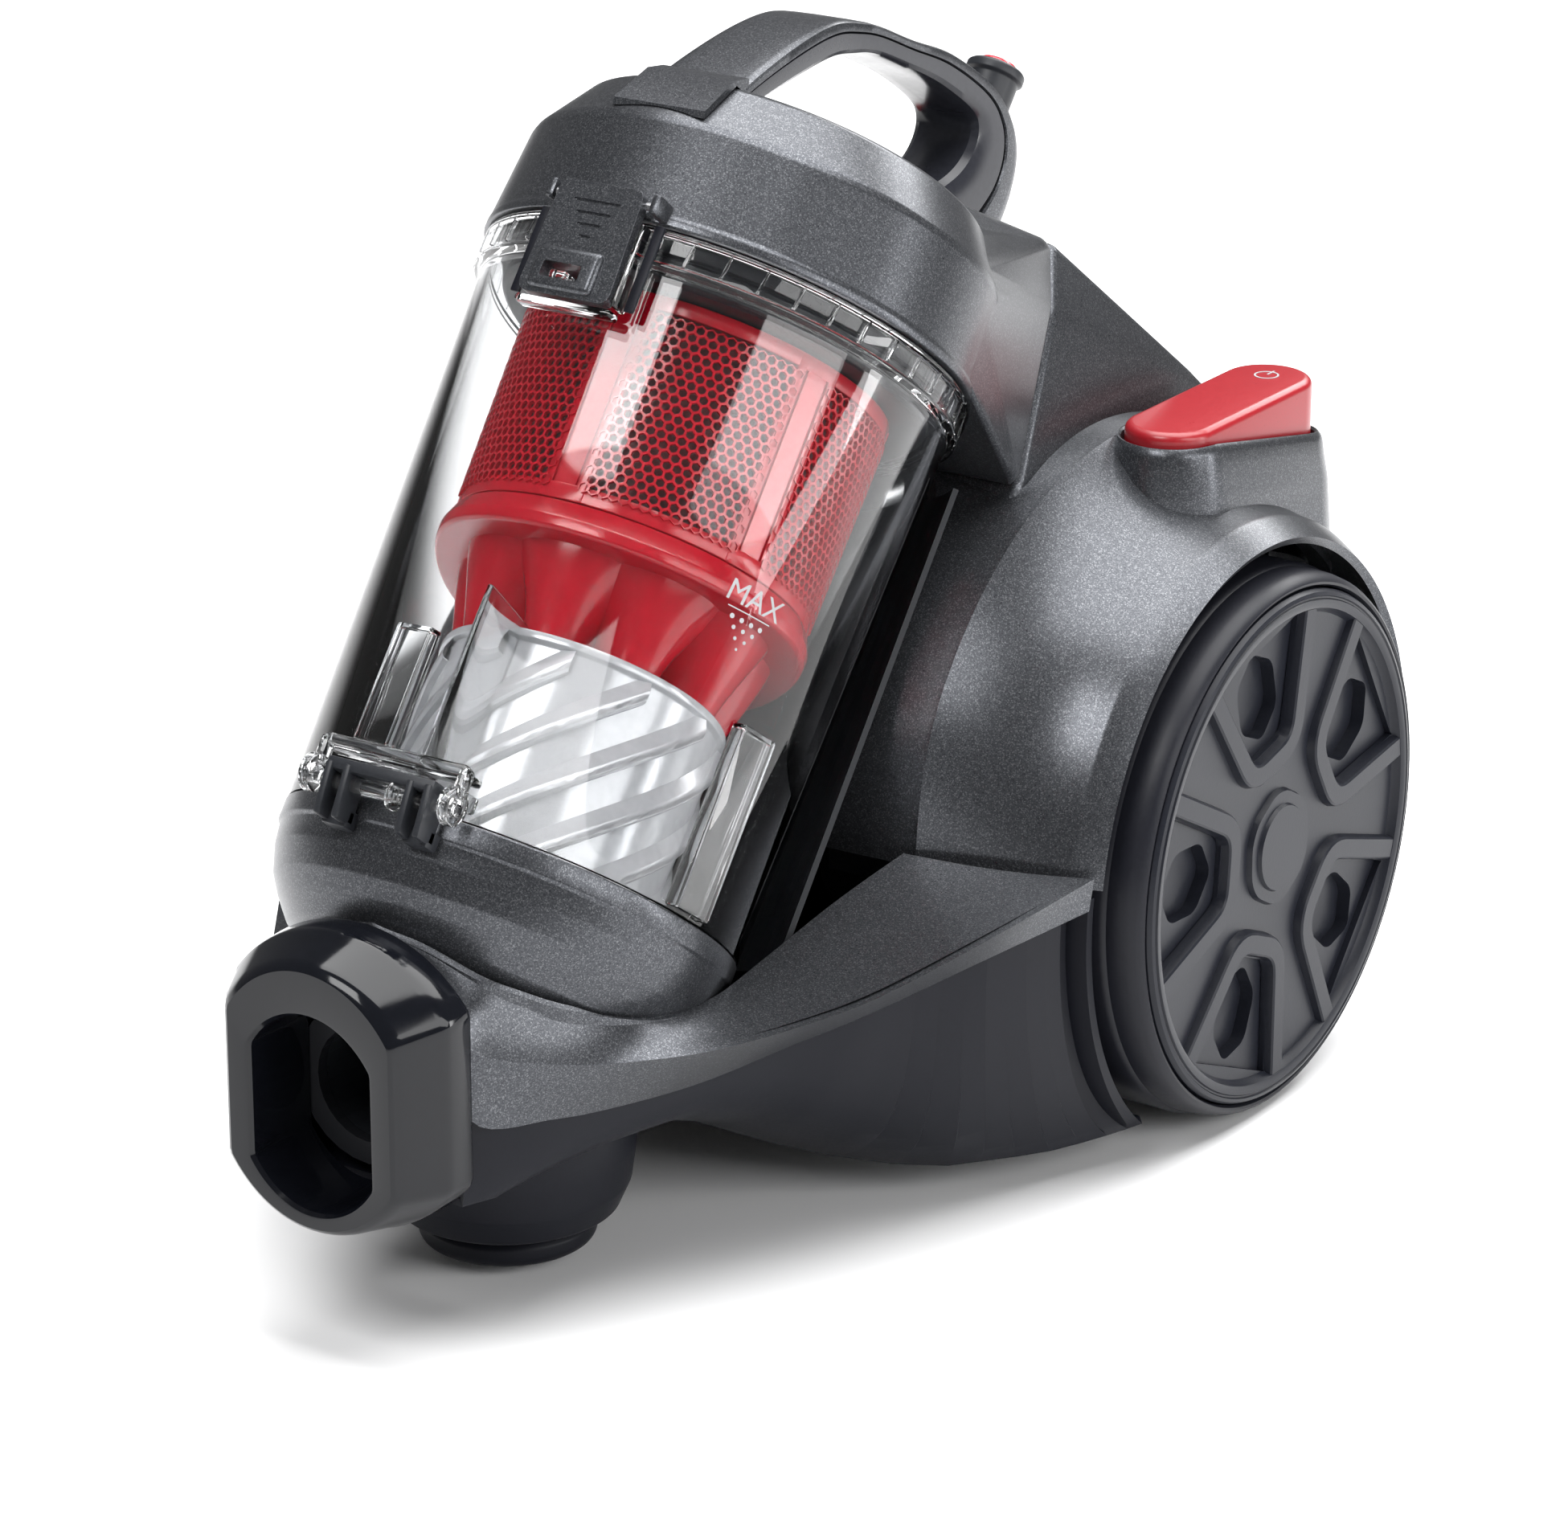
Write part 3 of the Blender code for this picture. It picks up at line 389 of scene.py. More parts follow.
FLANK_STATIONS = [
    70, 74.5, 76.6, 77.6, 78.6, 79.8, 82, 86, 91, 96, 101, 106, 111, 115, 118, 120, 121, 122,
    124, 127, 129, 129.6,
]
HOUSING_STATIONS = [-x for x in reversed(FLANK_STATIONS)]
HOUSING_STATIONS += [-54, -36, -18, 0, 18, 36, 54] + FLANK_STATIONS
HOUSING_FIRST_ANGLE = -24.0
HOUSING_LAST_ANGLE = 171.0


def housing_skin(u, v):
    station = HOUSING_STATIONS[round(u * (len(HOUSING_STATIONS) - 1))]
    return casing_point(station, between(HOUSING_FIRST_ANGLE, HOUSING_LAST_ANGLE, v))


housing_shape = walled(skin(len(HOUSING_STATIONS) - 1, 110, housing_skin), HOUSING_WALL)

PEDAL_X = 92.0
PEDAL_FRONT_Y = 92.0
PEDAL_REAR_Y = 178.0
PEDAL_HALF_WIDTH = 14.2
POD_FOOT_Z = 150.0
POD_FLOOR_Z = 180.0
POD_RIM_WIDTH = 3.6
POD_STEPS = 64


def slot_plan(half_width, front_y, rear_y, centre_x, segments=48):
    """Flat loop with straight sides and round ends."""
    shape = bmesh.new()
    bmesh.ops.create_circle(shape, radius=half_width, segments=segments)
    half_run = (rear_y - front_y) / 2 - half_width
    for vert in shape.verts:
        vert.co.y += math.copysign(half_run, vert.co.y) + (front_y + rear_y) / 2
        vert.co.x += centre_x
    return shape


def raised(plan, low_z, high_z):
    """Closed body between two heights over a flat loop."""
    bmesh.ops.contextual_create(plan, geom=plan.edges[:])
    for vert in plan.verts:
        vert.co.z = low_z
    grown = bmesh.ops.extrude_face_region(plan, geom=plan.faces[:])["geom"]
    for vert in verts_of(grown):
        vert.co.z = high_z
    return close_up(plan)


def pod_top(y):
    """Height of the pocket's rim, low at the front and dipping again to the rear."""
    return 208.0 - 15.0 * smooth_step((y - PEDAL_FRONT_Y - 8) / 90)


def pod_wall(side):
    """Wall round one pocket, its rim rounded over."""
    across_wall = [
        (POD_RIM_WIDTH + 4.5, None), (POD_RIM_WIDTH + 2.2, -14.0), (POD_RIM_WIDTH + 0.9, -7.0),
        (POD_RIM_WIDTH + 0.3, -2.6),
        (POD_RIM_WIDTH - 0.4, -0.9), (POD_RIM_WIDTH - 1.3, 0.0), (1.9, 0.0), (1.2, -0.6),
        (1.0, -1.6), (1.0, None),
    ]
    centre_y = (PEDAL_FRONT_Y + PEDAL_REAR_Y) / 2
    run = centre_y - PEDAL_FRONT_Y - PEDAL_HALF_WIDTH

    def place(u, v):
        outset, drop = across_wall[round(v * (len(across_wall) - 1))]
        way = math.tau * (u + 0.5 / POD_STEPS)
        half = PEDAL_HALF_WIDTH + outset
        x = side * PEDAL_X + half * math.cos(way)
        y = centre_y + math.copysign(run, math.sin(way)) + half * math.sin(way)
        return Vector((x, y, POD_FOOT_Z if drop is None else pod_top(y) + drop))

    shape = skin(POD_STEPS, len(across_wall) - 1, place)
    bmesh.ops.remove_doubles(shape, verts=shape.verts, dist=0.004)
    bmesh.ops.bridge_loops(shape, edges=[edge for edge in shape.edges if edge.is_boundary])
    return close_up(shape)


for side in (-1, 1):
    well = turn(
        [(0, WELL_X[0]), (WHEEL_WELL_RADIUS, WELL_X[0]), (WHEEL_WELL_RADIUS, WELL_X[1]),
         (0, WELL_X[1])], 72, closed=False,
    )
    across_place = Matrix.Translation((-sum(WELL_X) if side < 0 else 0.0, AXLE_Y, AXLE_Z))
    across_place = across_place @ Matrix.Rotation(math.radians(90), 4, "Y")
    bmesh.ops.transform(well, matrix=across_place, verts=well.verts)
    pocket = slot_plan(PEDAL_HALF_WIDTH + 2, PEDAL_FRONT_Y - 2, PEDAL_REAR_Y + 2, side * PEDAL_X)
    housing_shape = carve(housing_shape, raised(pocket, POD_FOOT_Z - 20, 240.0))
    pod_floor = slot_plan(
        PEDAL_HALF_WIDTH + 2.5, PEDAL_FRONT_Y - 2.5, PEDAL_REAR_Y + 2.5, side * PEDAL_X
    )
    pod_floor = raised(pod_floor, POD_FLOOR_Z - HOUSING_WALL, POD_FLOOR_Z)
    pod = carve(pod_wall(side), pod_floor, "UNION")
    housing_shape = carve(housing_shape, carve(pod, well), "UNION")

recess = turn(
    [(0, -70), (BIN_CLEARANCE_RADIUS, -70), (BIN_CLEARANCE_RADIUS, 320), (0, 320)], 96, False
)
housing_shape = carve(housing_shape, leant(recess))
housing_shape = carve(housing_shape, block(*VENT_WINDOW))
outlet_hole = turn([(0, -20), (OUTLET_RADIUS, -20), (OUTLET_RADIUS, 40), (0, 40)], 40, False)
outlet_place = Matrix.Translation(OUTLET_PLACE) @ Matrix.Rotation(math.radians(90), 4, "X")
bmesh.ops.transform(outlet_hole, matrix=outlet_place, verts=outlet_hole.verts)
housing_shape = carve(housing_shape, outlet_hole)
main_shell = piece("main_shell", housing_shape, casing_grey, sharp=28)
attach(main_shell, "housing")
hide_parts("main_housing")

# ---------------------------------------------------------------- front skirt
# A dished apron in the casing's metallic grey that runs round the bin's foot. On each side
# it sweeps back as a wing whose chamfered rim meets the wheel arch.
SKIRT_INNER = [
    (0, -171, 121.8), (17, -169, 118), (31.6, -163, 110), (40, -156, 105), (48, -148, 100.3),
    (56, -134, 94.5), (61, -120, 90.5), (65, -100, 89.3), (66, -75, 93), (71, -45, 102),
    (77, -18.5, 109.5),
]
SKIRT_CREST = [
    (0, -176, 122.5), (20, -176, 117), (33, -176, 105), (37.5, -176, 93), (53.6, -155, 85.7),
    (67.5, -134.3, 83.1), (80.4, -115.6, 83.2), (95.6, -93, 86.7), (107.3, -75.2, 91.5),
    (120.5, -43.4, 99.8), (130, 1.5, 106.5),
]
SKIRT_LOWER = [
    (0, -176, 119), (19, -176, 113), (31, -176, 101), (37, -176, 72), (47.6, -152, 66.7),
    (57.5, -129.3, 65.6), (66.9, -105.6, 66.2), (80.6, -83, 72.2), (95.8, -66.2, 79.5),
    (114, -36.4, 89.3), (129, 0.5, 96.5),
]
SKIRT_WALL = 2.2


def through(points, share):
    """Point on a smooth curve through a list of points, at a share of the way along."""
    place = share * (len(points) - 1)
    start = min(int(place), len(points) - 2)
    part = place - start
    near = [Vector(points[min(max(start + i, 0), len(points) - 1)]) for i in (-1, 0, 1, 2)]
    slope_in = (near[2] - near[0]) / 2
    slope_out = (near[3] - near[1]) / 2
    square = part * part
    cube = square * part
    return (
        near[1] * (2 * cube - 3 * square + 1) + slope_in * (cube - 2 * square + part)
        + near[2] * (3 * square - 2 * cube) + slope_out * (cube - square)
    )


def skirt_skin(u, v):
    side = 1 if u >= 0.5 else -1
    share = abs(2 * u - 1)
    inner = through(SKIRT_INNER, share)
    crest = through(SKIRT_CREST, share)
    lower = through(SKIRT_LOWER, share)
    step = round(v * 16)
    if step == 0:
        point = inner + Vector((0, 0, -3.2))
    elif step == 1:
        point = inner + Vector((0, 0, -0.8))
    elif step <= 12:
        part = (step - 2) / 10
        point = inner.lerp(crest, part)
        point.z -= 1.2 * math.sin(math.pi * part)
    else:
        point = crest.lerp(lower, (0.06, 0.12, 0.9, 1.0)[step - 13])
    return Vector((side * point.x, point.y, point.z))


skirt_shape = walled(skin(128, 16, skirt_skin), SKIRT_WALL)
skirt = piece("front_apron", skirt_shape, casing_grey, sharp=25)
edge_bevel(skirt, 0.5, angle=25)
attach(skirt, "housing")
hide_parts("front_skirt")

# ---------------------------------------------------------------- neck behind the bin
# Facetted cover, moulded in the casing's grey, that carries the lid's lines down on to the
# crowned back. It is drawn as the hull of its corners and cut to sit on the housing.
SEAM = 70.0
SEAM_GAP = 0.3
BIN_ROOM_RADIUS = 77.4
NECK_ROUND = 2.4
NECK_FOOT = ((68, 168, 205), (72, 186, 178), (72, 186, 130), (70, 60, 130))


def seam_corners(setback, inset=0.0):
    """Corners of the seam between the lid's shoulder and the neck, in the bin's own frame."""
    half = ((52 - inset, 247 - inset), (61 - inset, 225), (71 - inset, 168))
    return [Vector((sign * x, setback, s)) for sign in (-1, 1) for x, s in half]


def wrapped(points):
    """Closed facetted body round a set of corners."""
    shape = bmesh.new()
    for point in points:
        shape.verts.new(point)
    found = bmesh.ops.convex_hull(shape, input=shape.verts)
    spare = set(found["geom_interior"] + found["geom_unused"])
    bmesh.ops.delete(shape, geom=verts_of(spare))
    bmesh.ops.dissolve_limit(
        shape, angle_limit=math.radians(1), verts=shape.verts, edges=shape.edges
    )
    return shape


def neck_body(inset, setback):
    corners = [BIN_PLACE @ point for point in seam_corners(setback, inset)]
    corners += [BIN_PLACE @ Vector((sign * (70 - inset), setback, 130)) for sign in (-1, 1)]
    corners += [
        Vector((sign * (x - inset), y - inset, z - inset))
        for sign in (-1, 1) for x, y, z in NECK_FOOT
    ]
    return wrapped(corners)


neck_shape = neck_body(0.0, SEAM + SEAM_GAP)
rounded(neck_shape, neck_shape.edges[:], NECK_ROUND, 4)
neck_shape = carve(neck_shape, neck_body(2.6, SEAM + 3.0))


def back_skin(u, v):
    return casing_point(between(-110, 110, u), between(-30, 200, v), -0.2)


under_neck = walled(skin(40, 90, back_skin), 70)
neck_shape = carve(neck_shape, under_neck)
bin_room = turn(
    [(0, -70), (BIN_ROOM_RADIUS, -70), (BIN_ROOM_RADIUS, 320), (0, 320)], 96, False
)
neck_shape = carve(neck_shape, leant(bin_room))
neck = piece("neck_moulding", neck_shape, casing_grey, sharp=30)
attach(neck, "housing")
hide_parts("neck_cover")

# ---------------------------------------------------------------- hose inlet
# Glossy black collar clipped on the nose, with a front face and an upright opening
# that takes the hose's end piece. A rubber seal and a short tube stand behind it.
gloss_black = moulded(
    "glossy_black", (0.004, 0.0045, 0.0065), 0.1, grain=0.004, roughness_play=0.03, relief=0.01,
    shine=0.3,
)
satin_black = moulded(
    "satin_black", (0.022, 0.023, 0.029), 0.2, grain=0.002, relief=0.02, shine=0.3
)
dark_grey = moulded("dark_satin_plastic", (0.016, 0.0175, 0.021), 0.42, grain=0.0009, shine=0.3)
matt_black = moulded(
    "matt_black_plastic", (0.0065, 0.007, 0.0105), 0.44, grain=0.0009, shine=0.14
)
soft_rubber = moulded(
    "soft_rubber", (0.010, 0.0105, 0.013), 0.55, grain=0.0012, relief=0.1, shine=0.25
)
COLLAR_SECTIONS = [
    (-202.0, 28.0, 38.4, 78.5), (-201.2, 29.2, 39.5, 78.6), (-199.6, 30.2, 40.5, 78.7),
    (-198.6, 31.0, 40.9, 78.8), (-188.0, 36.2, 43.0, 79.3), (-186.6, 37.0, 43.7, 79.5),
    (-185.0, 37.4, 44.0, 79.6), (-178.0, 37.8, 44.3, 79.6), (-176.4, 37.2, 43.8, 79.6),
    (-176.4, 19.7, 28.4, 74.0), (-190.0, 20.2, 28.9, 74.0), (-200.6, 20.7, 29.4, 74.0),
    (-201.8, 21.6, 30.3, 74.1), (-202.0, 22.4, 31.1, 74.2),
]
UPRIGHTNESS = 1.22


def collar_skin(u, v):
    y, half_width, half_height, middle = COLLAR_SECTIONS[round(v * (len(COLLAR_SECTIONS) - 1))]
    way = math.tau * u
    across = min(max(UPRIGHTNESS * math.cos(way), -1.0), 1.0)
    return Vector((half_width * across, y, middle + half_height * math.sin(way)))


collar_shape = skin(120, len(COLLAR_SECTIONS) - 1, collar_skin)
bmesh.ops.remove_doubles(collar_shape, verts=collar_shape.verts, dist=0.004)
bmesh.ops.bridge_loops(
    collar_shape, edges=[edge for edge in collar_shape.edges if edge.is_boundary]
)
inlet_ring = piece("inlet_ring", close_up(collar_shape), gloss_black, sharp=24)
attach(inlet_ring, "housing")
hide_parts("inlet_collar")

# ---------------------------------------------------------------- base shell
# Black lower shell under the casing. Its flanks are drawn by circles about the axle: a rim
# round each wheel, a channel, then shallow steps that die away towards the nose.
BASE_WALL = 2.2
FLOOR_CLEARANCE = 12.0
# Radius about the axle, then how far out and how high the flank's upper and lower edges are
FLANK_UPPER = [
    (93, 126.5, 98), (105, 124, 96.5), (117.5, 120, 94.5), (130, 115, 91.5), (137, 111, 90.5),
    (150, 103, 86.5), (166, 93, 81.5), (184, 78, 75.5), (207, 64, 69.5), (230, 54, 68.5),
    (253, 44, 69), (266, 36, 70), (276, 30, 70),
]
FLANK_LOWER = [
    (93, 124, 12), (105, 118, 12), (117.5, 110.5, 12), (130, 98.5, 12), (137, 92, 12),
    (145, 77, 12.5), (152, 62, 15), (160, 50, 20), (178, 40, 34), (200, 37, 43), (230, 37, 45),
    (266, 34, 43), (276, 30, 43),
]
RIM_STEPS = [(93.4, 0.0), (96.4, 0.6), (97.0, -6.0), (101.6, -6.4), (102.2, -3.6)]
STEP_RADII = (108.5, 116, 123.5, 130.5, 137.5, 144.5, 151.5)
STEP_RISE = 0.7
WALL_SHARE = 0.8
SLOT_HALF_SIZE = (12, 4.6, 9.4)
SLOT_PLACE = (103, -52.5, 47)
TRAY = ((-95.5, 18, FLOOR_CLEARANCE), (95.5, 184, 94))
TRAY_HOLLOW = ((-93.3, 10, FLOOR_CLEARANCE + BASE_WALL), (93.3, 181.8, 200))


def read_off(table, radius):
    """Values of a table at a radius, read between its rows."""
    for low, high in zip(table, table[1:]):
        if radius <= high[0]:
            share = (radius - low[0]) / (high[0] - low[0])
            return [between(a, b, share) for a, b in zip(low[1:], high[1:])]
    return list(table[-1][1:])


flank_stations = list(RIM_STEPS)
for count, radius in enumerate(STEP_RADII):
    offset = -3.6 + STEP_RISE * count
    flank_stations += [(radius - 0.25, offset), (radius + 0.25, offset + STEP_RISE)]
flank_stations += [(radius, 1.3) for radius in range(156, 277, 5)]


def flank_skin(u, v):
    radius, offset = flank_stations[round(u * (len(flank_stations) - 1))]
    upper_x, upper_z = read_off(FLANK_UPPER, radius)
    lower_x, lower_z = read_off(FLANK_LOWER, radius)
    if v <= WALL_SHARE:
        part = v / WALL_SHARE
        bulge_x = between(upper_x, lower_x, 0.12)
        bulge_z = between(upper_z, lower_z, 0.78)
        x = (1 - part) ** 2 * upper_x + 2 * part * (1 - part) * bulge_x + part ** 2 * lower_x
        z = (1 - part) ** 2 * upper_z + 2 * part * (1 - part) * bulge_z + part ** 2 * lower_z
        x += offset * (1 - part ** 6)
    else:
        x = lower_x * (1 - (v - WALL_SHARE) / (1 - WALL_SHARE))
        z = lower_z
    reach = math.sqrt(max(radius ** 2 - (z - AXLE_Z) ** 2, 0.0))
    return Vector((x, AXLE_Y - reach, z))


flank_shape = skin(len(flank_stations) - 1, 40, flank_skin)
other_flank = flank_shape.copy()
bmesh.ops.scale(other_flank, vec=(-1, 1, 1), verts=other_flank.verts)
bmesh.ops.reverse_faces(other_flank, faces=other_flank.faces)
flank_shape = walled(join(flank_shape, other_flank), BASE_WALL)
for side in (-1, 1):
    slot_shape = bmesh.new()
    bmesh.ops.create_uvsphere(slot_shape, u_segments=32, v_segments=16, radius=1.0)
    bmesh.ops.scale(slot_shape, vec=SLOT_HALF_SIZE, verts=slot_shape.verts)
    shifted(slot_shape, side * SLOT_PLACE[0], SLOT_PLACE[1], SLOT_PLACE[2])
    flank_shape = carve(flank_shape, slot_shape)
tray_shape = carve(block(*TRAY, 5.0, 4), block(*TRAY_HOLLOW))
base_shell = piece("base_shell", join(flank_shape, tray_shape), matt_black, sharp=24)
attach(base_shell, "housing")
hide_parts("base_pan")

# ---------------------------------------------------------------- caster under the nose
# A tapered drum moulded in black plastic stands under the nose. The disc and fork that turn
# in it carry one small rubber roller on a steel pin.
CASTER_Y = -111.0
drum_shape = turn(
    [(27, 29), (27, 13.2), (28.6, 12.8), (33, 15), (36.5, 23), (38, 34), (38.4, 46), (30, 46),
     (30, 29)], 96, fillet=0.7,
)
caster_drum = piece("caster_drum", shifted(drum_shape, 0, CASTER_Y, 0), matt_black)
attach(caster_drum, "housing")
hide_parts("caster_housing")

disc_shape = turn(
    [(0, 3.6), (23.6, 3.6), (25.4, 4.8), (26.2, 6.4), (26.2, 9.6), (24.6, 11.6), (22, 12.4),
     (22, 26.8), (0, 26.8)], 96, closed=False, fillet=0.5,
)
disc_shape = carve(disc_shape, block((-8.4, -12, -5), (8.4, 30, 25.6), 1.0))
caster_disc = piece("caster_disc", shifted(disc_shape, 0, CASTER_Y, 0), matt_black)
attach(caster_disc, "caster")
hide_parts("caster_fork")

# ---------------------------------------------------------------- rear wheels
# Each wheel is a soft tyre on a black rim, closed by a moulded hub cap: a lipped disc with
# five raised U-shaped ribs, a six-sided pocket inside each rib and a six-sided centre boss.
WHEEL_INNER_X = 101.0
TYRE_OUTLINE = [
    (70, 0), (83.4, 0), (85.6, 1.2), (86.0, 3.4), (86.0, 23.0), (85.2, 24.6), (84.9, 25.0),
    (84.9, 26.2), (84.6, 31.0), (83.9, 34.2), (82.9, 35.8), (82.0, 36.4), (81.2, 36.2),
    (80.6, 35.2), (80.6, 27), (70, 27),
]
CAP_OUTLINE = [
    (0, 34.0), (72.6, 34.8), (73.4, 35.6), (74.2, 37.4), (75.4, 37.9), (76.8, 37.9), (77.2, 37.3),
    (77.7, 37.3), (78.1, 37.8), (79.2, 37.4), (80.0, 36.0), (80.0, 27), (0, 27),
]
RIB_HALF_ANGLE = 23.0
RIB_FOOT_RADIUS = 33.0
RIB_RIM_RADIUS = 74.0
RIB_SECTION = [(-4.2, 34.0), (-3.4, 36.8), (-2.8, 37.3), (2.8, 37.3), (3.4, 36.8), (4.2, 34.0)]
RIB_BOTTOM = 33.0
POCKET_DEPTH = 1.6
BOSS_STEPS = ((21.0, 33.5, 35.9), (16.4, 35.0, 37.0))
RIB_COUNT = 5
FIRST_RIB_ANGLE = 31.0
cap_black = moulded(
    "hub_cap_plastic", (0.011, 0.012, 0.017), 0.36, grain=0.001, relief=0.08, shine=0.2
)
tyre_black = moulded(
    "tyre_rubber", (0.009, 0.0095, 0.0135), 0.4, grain=0.0012, relief=0.1, shine=0.2
)


def rib_line(half_angle, foot, rim, roundness):
    """Centre line of one U: in from the rim, round two corners and out again."""
    spread = math.radians(half_angle)
    ways = [Vector((math.cos(sign * spread), math.sin(sign * spread))) for sign in (1, -1)]
    line = [way * rim for way in ways]
    bends = [way * foot for way in ways]
    points = [line[0]]
    for bend, before, after in ((bends[0], line[0], bends[1]), (bends[1], bends[0], line[1])):
        start = bend + (before - bend).normalized() * roundness
        end = bend + (after - bend).normalized() * roundness
        for step in range(7):
            part = step / 6
            points.append(
                start * (1 - part) ** 2 + bend * (2 * part * (1 - part)) + end * part ** 2
            )
    points.append(line[1])
    return points


def rib_shape():
    line = rib_line(RIB_HALF_ANGLE, RIB_FOOT_RADIUS, RIB_RIM_RADIUS, 8.0)

    def place(u, v):
        i = round(u * (len(line) - 1))
        way = (line[min(i + 1, len(line) - 1)] - line[max(i - 1, 0)]).normalized()
        offset, height = RIB_SECTION[round(v * (len(RIB_SECTION) - 1))]
        return Vector((line[i].x - way.y * offset, line[i].y + way.x * offset, height))

    shape = skin(len(line) - 1, len(RIB_SECTION) - 1, place)
    grown = bmesh.ops.extrude_face_region(shape, geom=shape.faces[:])["geom"]
    for vert in verts_of(grown):
        vert.co.z = RIB_BOTTOM
    return close_up(shape)


def pocket_shape():
    shape = bmesh.new()
    points = rib_line(RIB_HALF_ANGLE - 3.5, RIB_FOOT_RADIUS + 4, 73.0, 6.0)
    corners = [shape.verts.new((point.x, point.y, 0)) for point in points]
    for pair in zip(corners, corners[1:] + corners[:1]):
        shape.edges.new(pair)
    return raised(shape, 34.3 - POCKET_DEPTH, 40)


def six_sided(radius, low, high, corner, stretch=1.0, top_inset=0.0):
    """Six-sided body with rounded corners."""
    shape = bmesh.new()
    bmesh.ops.create_circle(shape, radius=radius, segments=6)
    bmesh.ops.bevel(
        shape, geom=shape.verts[:] + shape.edges[:], offset=corner, offset_type="OFFSET",
        segments=5, profile=0.5, affect="VERTICES", material=-1,
    )
    bmesh.ops.scale(shape, vec=(stretch, 1, 1), verts=shape.verts)
    shape = raised(shape, low, high)
    for vert in shape.verts:
        if vert.co.z > (low + high) / 2:
            vert.co.xy *= 1 - top_inset / radius
    return shape


def cap_shape():
    cap = turn(CAP_OUTLINE, 120, closed=False)
    for index in range(RIB_COUNT):
        turn_by = Matrix.Rotation(math.radians(FIRST_RIB_ANGLE + 72 * index), 4, "Z")
        hollow = pocket_shape()
        bmesh.ops.transform(hollow, matrix=turn_by, verts=hollow.verts)
        cap = carve(cap, hollow)
        hole = six_sided(13.6, 28.4, 40, 3.0, 1.06, -0.6)
        bmesh.ops.scale(turned(hole, 30), vec=(1.05, 0.9, 1), verts=hole.verts)
        shifted(hole, 52.5, 0, 0)
        bmesh.ops.transform(hole, matrix=turn_by, verts=hole.verts)
        cap = carve(cap, hole)
        rib = rib_shape()
        bmesh.ops.transform(rib, matrix=turn_by, verts=rib.verts)
        cap = carve(cap, rib, "UNION")
    for radius, low, high in BOSS_STEPS:
        boss = six_sided(radius, low, high, 7.0, top_inset=1.2)
        cap = carve(cap, turned(boss, FIRST_RIB_ANGLE + 30), "UNION")
    return cap


def on_wheel(shape, side):
    """Stand a shape drawn round Z on the right or left wheel, its top outwards."""
    stand = Matrix(((0, 0, 1, 0), (1, 0, 0, 0), (0, 1, 0, 0), (0, 0, 0, 1)))
    place = Matrix.Translation((WHEEL_INNER_X, AXLE_Y, AXLE_Z)) @ stand
    bmesh.ops.transform(shape, matrix=place, verts=shape.verts)
    if side < 0:
        bmesh.ops.scale(shape, vec=(-1, 1, 1), verts=shape.verts)
        bmesh.ops.reverse_faces(shape, faces=shape.faces)
    return shape


for side, label in ((1, "right"), (-1, "left")):
    body = f"wheel_{label}"
    tyre_shape = on_wheel(turn(TYRE_OUTLINE, 144), side)
    tyre = piece(f"rubber_tyre_{label}", tyre_shape, tyre_black, sharp=28)
    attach(tyre, body)
    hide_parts(f"tyre_{label}")
    cap = piece(f"moulded_cap_{label}", on_wheel(cap_shape(), side), cap_black, sharp=25)
    edge_bevel(cap, 0.35, angle=25)
    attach(cap, body)
    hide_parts(f"hub_cap_{label}")

# ---------------------------------------------------------------- clear dust bin
# Tapered cylinder moulded in clear plastic with a ribbed collar at its mouth. A clear rail
# stands on each side of its foot and a looped bracket at the front holds the door's hinge.
clear_plastic = moulded(
    "clear_plastic", (0.965, 0.972, 0.978), 0.03, grain=0.01, colour_play=0.004,
    roughness_play=0.01, relief=0.0,
)
clear_shader = clear_plastic.node_tree.nodes["Principled BSDF"]
clear_shader.inputs["Transmission Weight"].default_value = 1.0
clear_shader.inputs["IOR"].default_value = 1.42
BIN_OUTLINE = [
    (66.4, 0), (68.8, 0), (72.8, 165.0), (73.2, 165.9), (75.4, 166.5), (75.4, 167.7),
    (74.0, 168.3), (73.8, 175.6), (75.2, 176.3), (75.2, 177.4), (71.2, 177.4), (71.2, 166.0),
    (70.4, 164.0),
]
HINGE_W = 75.5
HINGE_S = 0.0
HINGE_X = 24
COLLAR_RIB_COUNT = 42


def laid_across(shape, x, y, z):
    """Lay a shape drawn round Z along X, its foot at a point."""
    place = Matrix.Translation((x, y, z)) @ Matrix.Rotation(math.radians(90), 4, "Y")
    bmesh.ops.transform(shape, matrix=place, verts=shape.verts)
    return shape


def pin(radius, length, x, y, z, fillet=0.3):
    shape = turn([(0, 0), (radius, 0), (radius, length), (0, length)], 40, False, fillet)
    return laid_across(shape, x, y, z)


bin_shape = turn(BIN_OUTLINE, 160, fillet=0.35, fillet_steps=2)
bin_shape = carve(bin_shape, block((-13, 55, 112), (13, 90, 140), 1.0))
bin_wall = piece("clear_cylinder", bin_shape, clear_plastic, lean=True, sharp=30)
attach(bin_wall, "bin")
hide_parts("bin_cylinder")

rib_parts = []
for index in range(COLLAR_RIB_COUNT):
    rib = block((73.6, -0.55, 168.6), (75.3, 0.55, 175.8), 0.25, 1)
    for vert in rib.verts:
        vert.co.y += (vert.co.z - 172.2) * 0.16
        if vert.co.z > 174:
            vert.co.y += 0.35 * (0.4 - vert.co.y)
    rib_parts.append(turned(rib, 360 * index / COLLAR_RIB_COUNT))
collar_ribs = piece("collar_ribs", join(*rib_parts), clear_plastic, lean=True)
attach(collar_ribs, "bin")

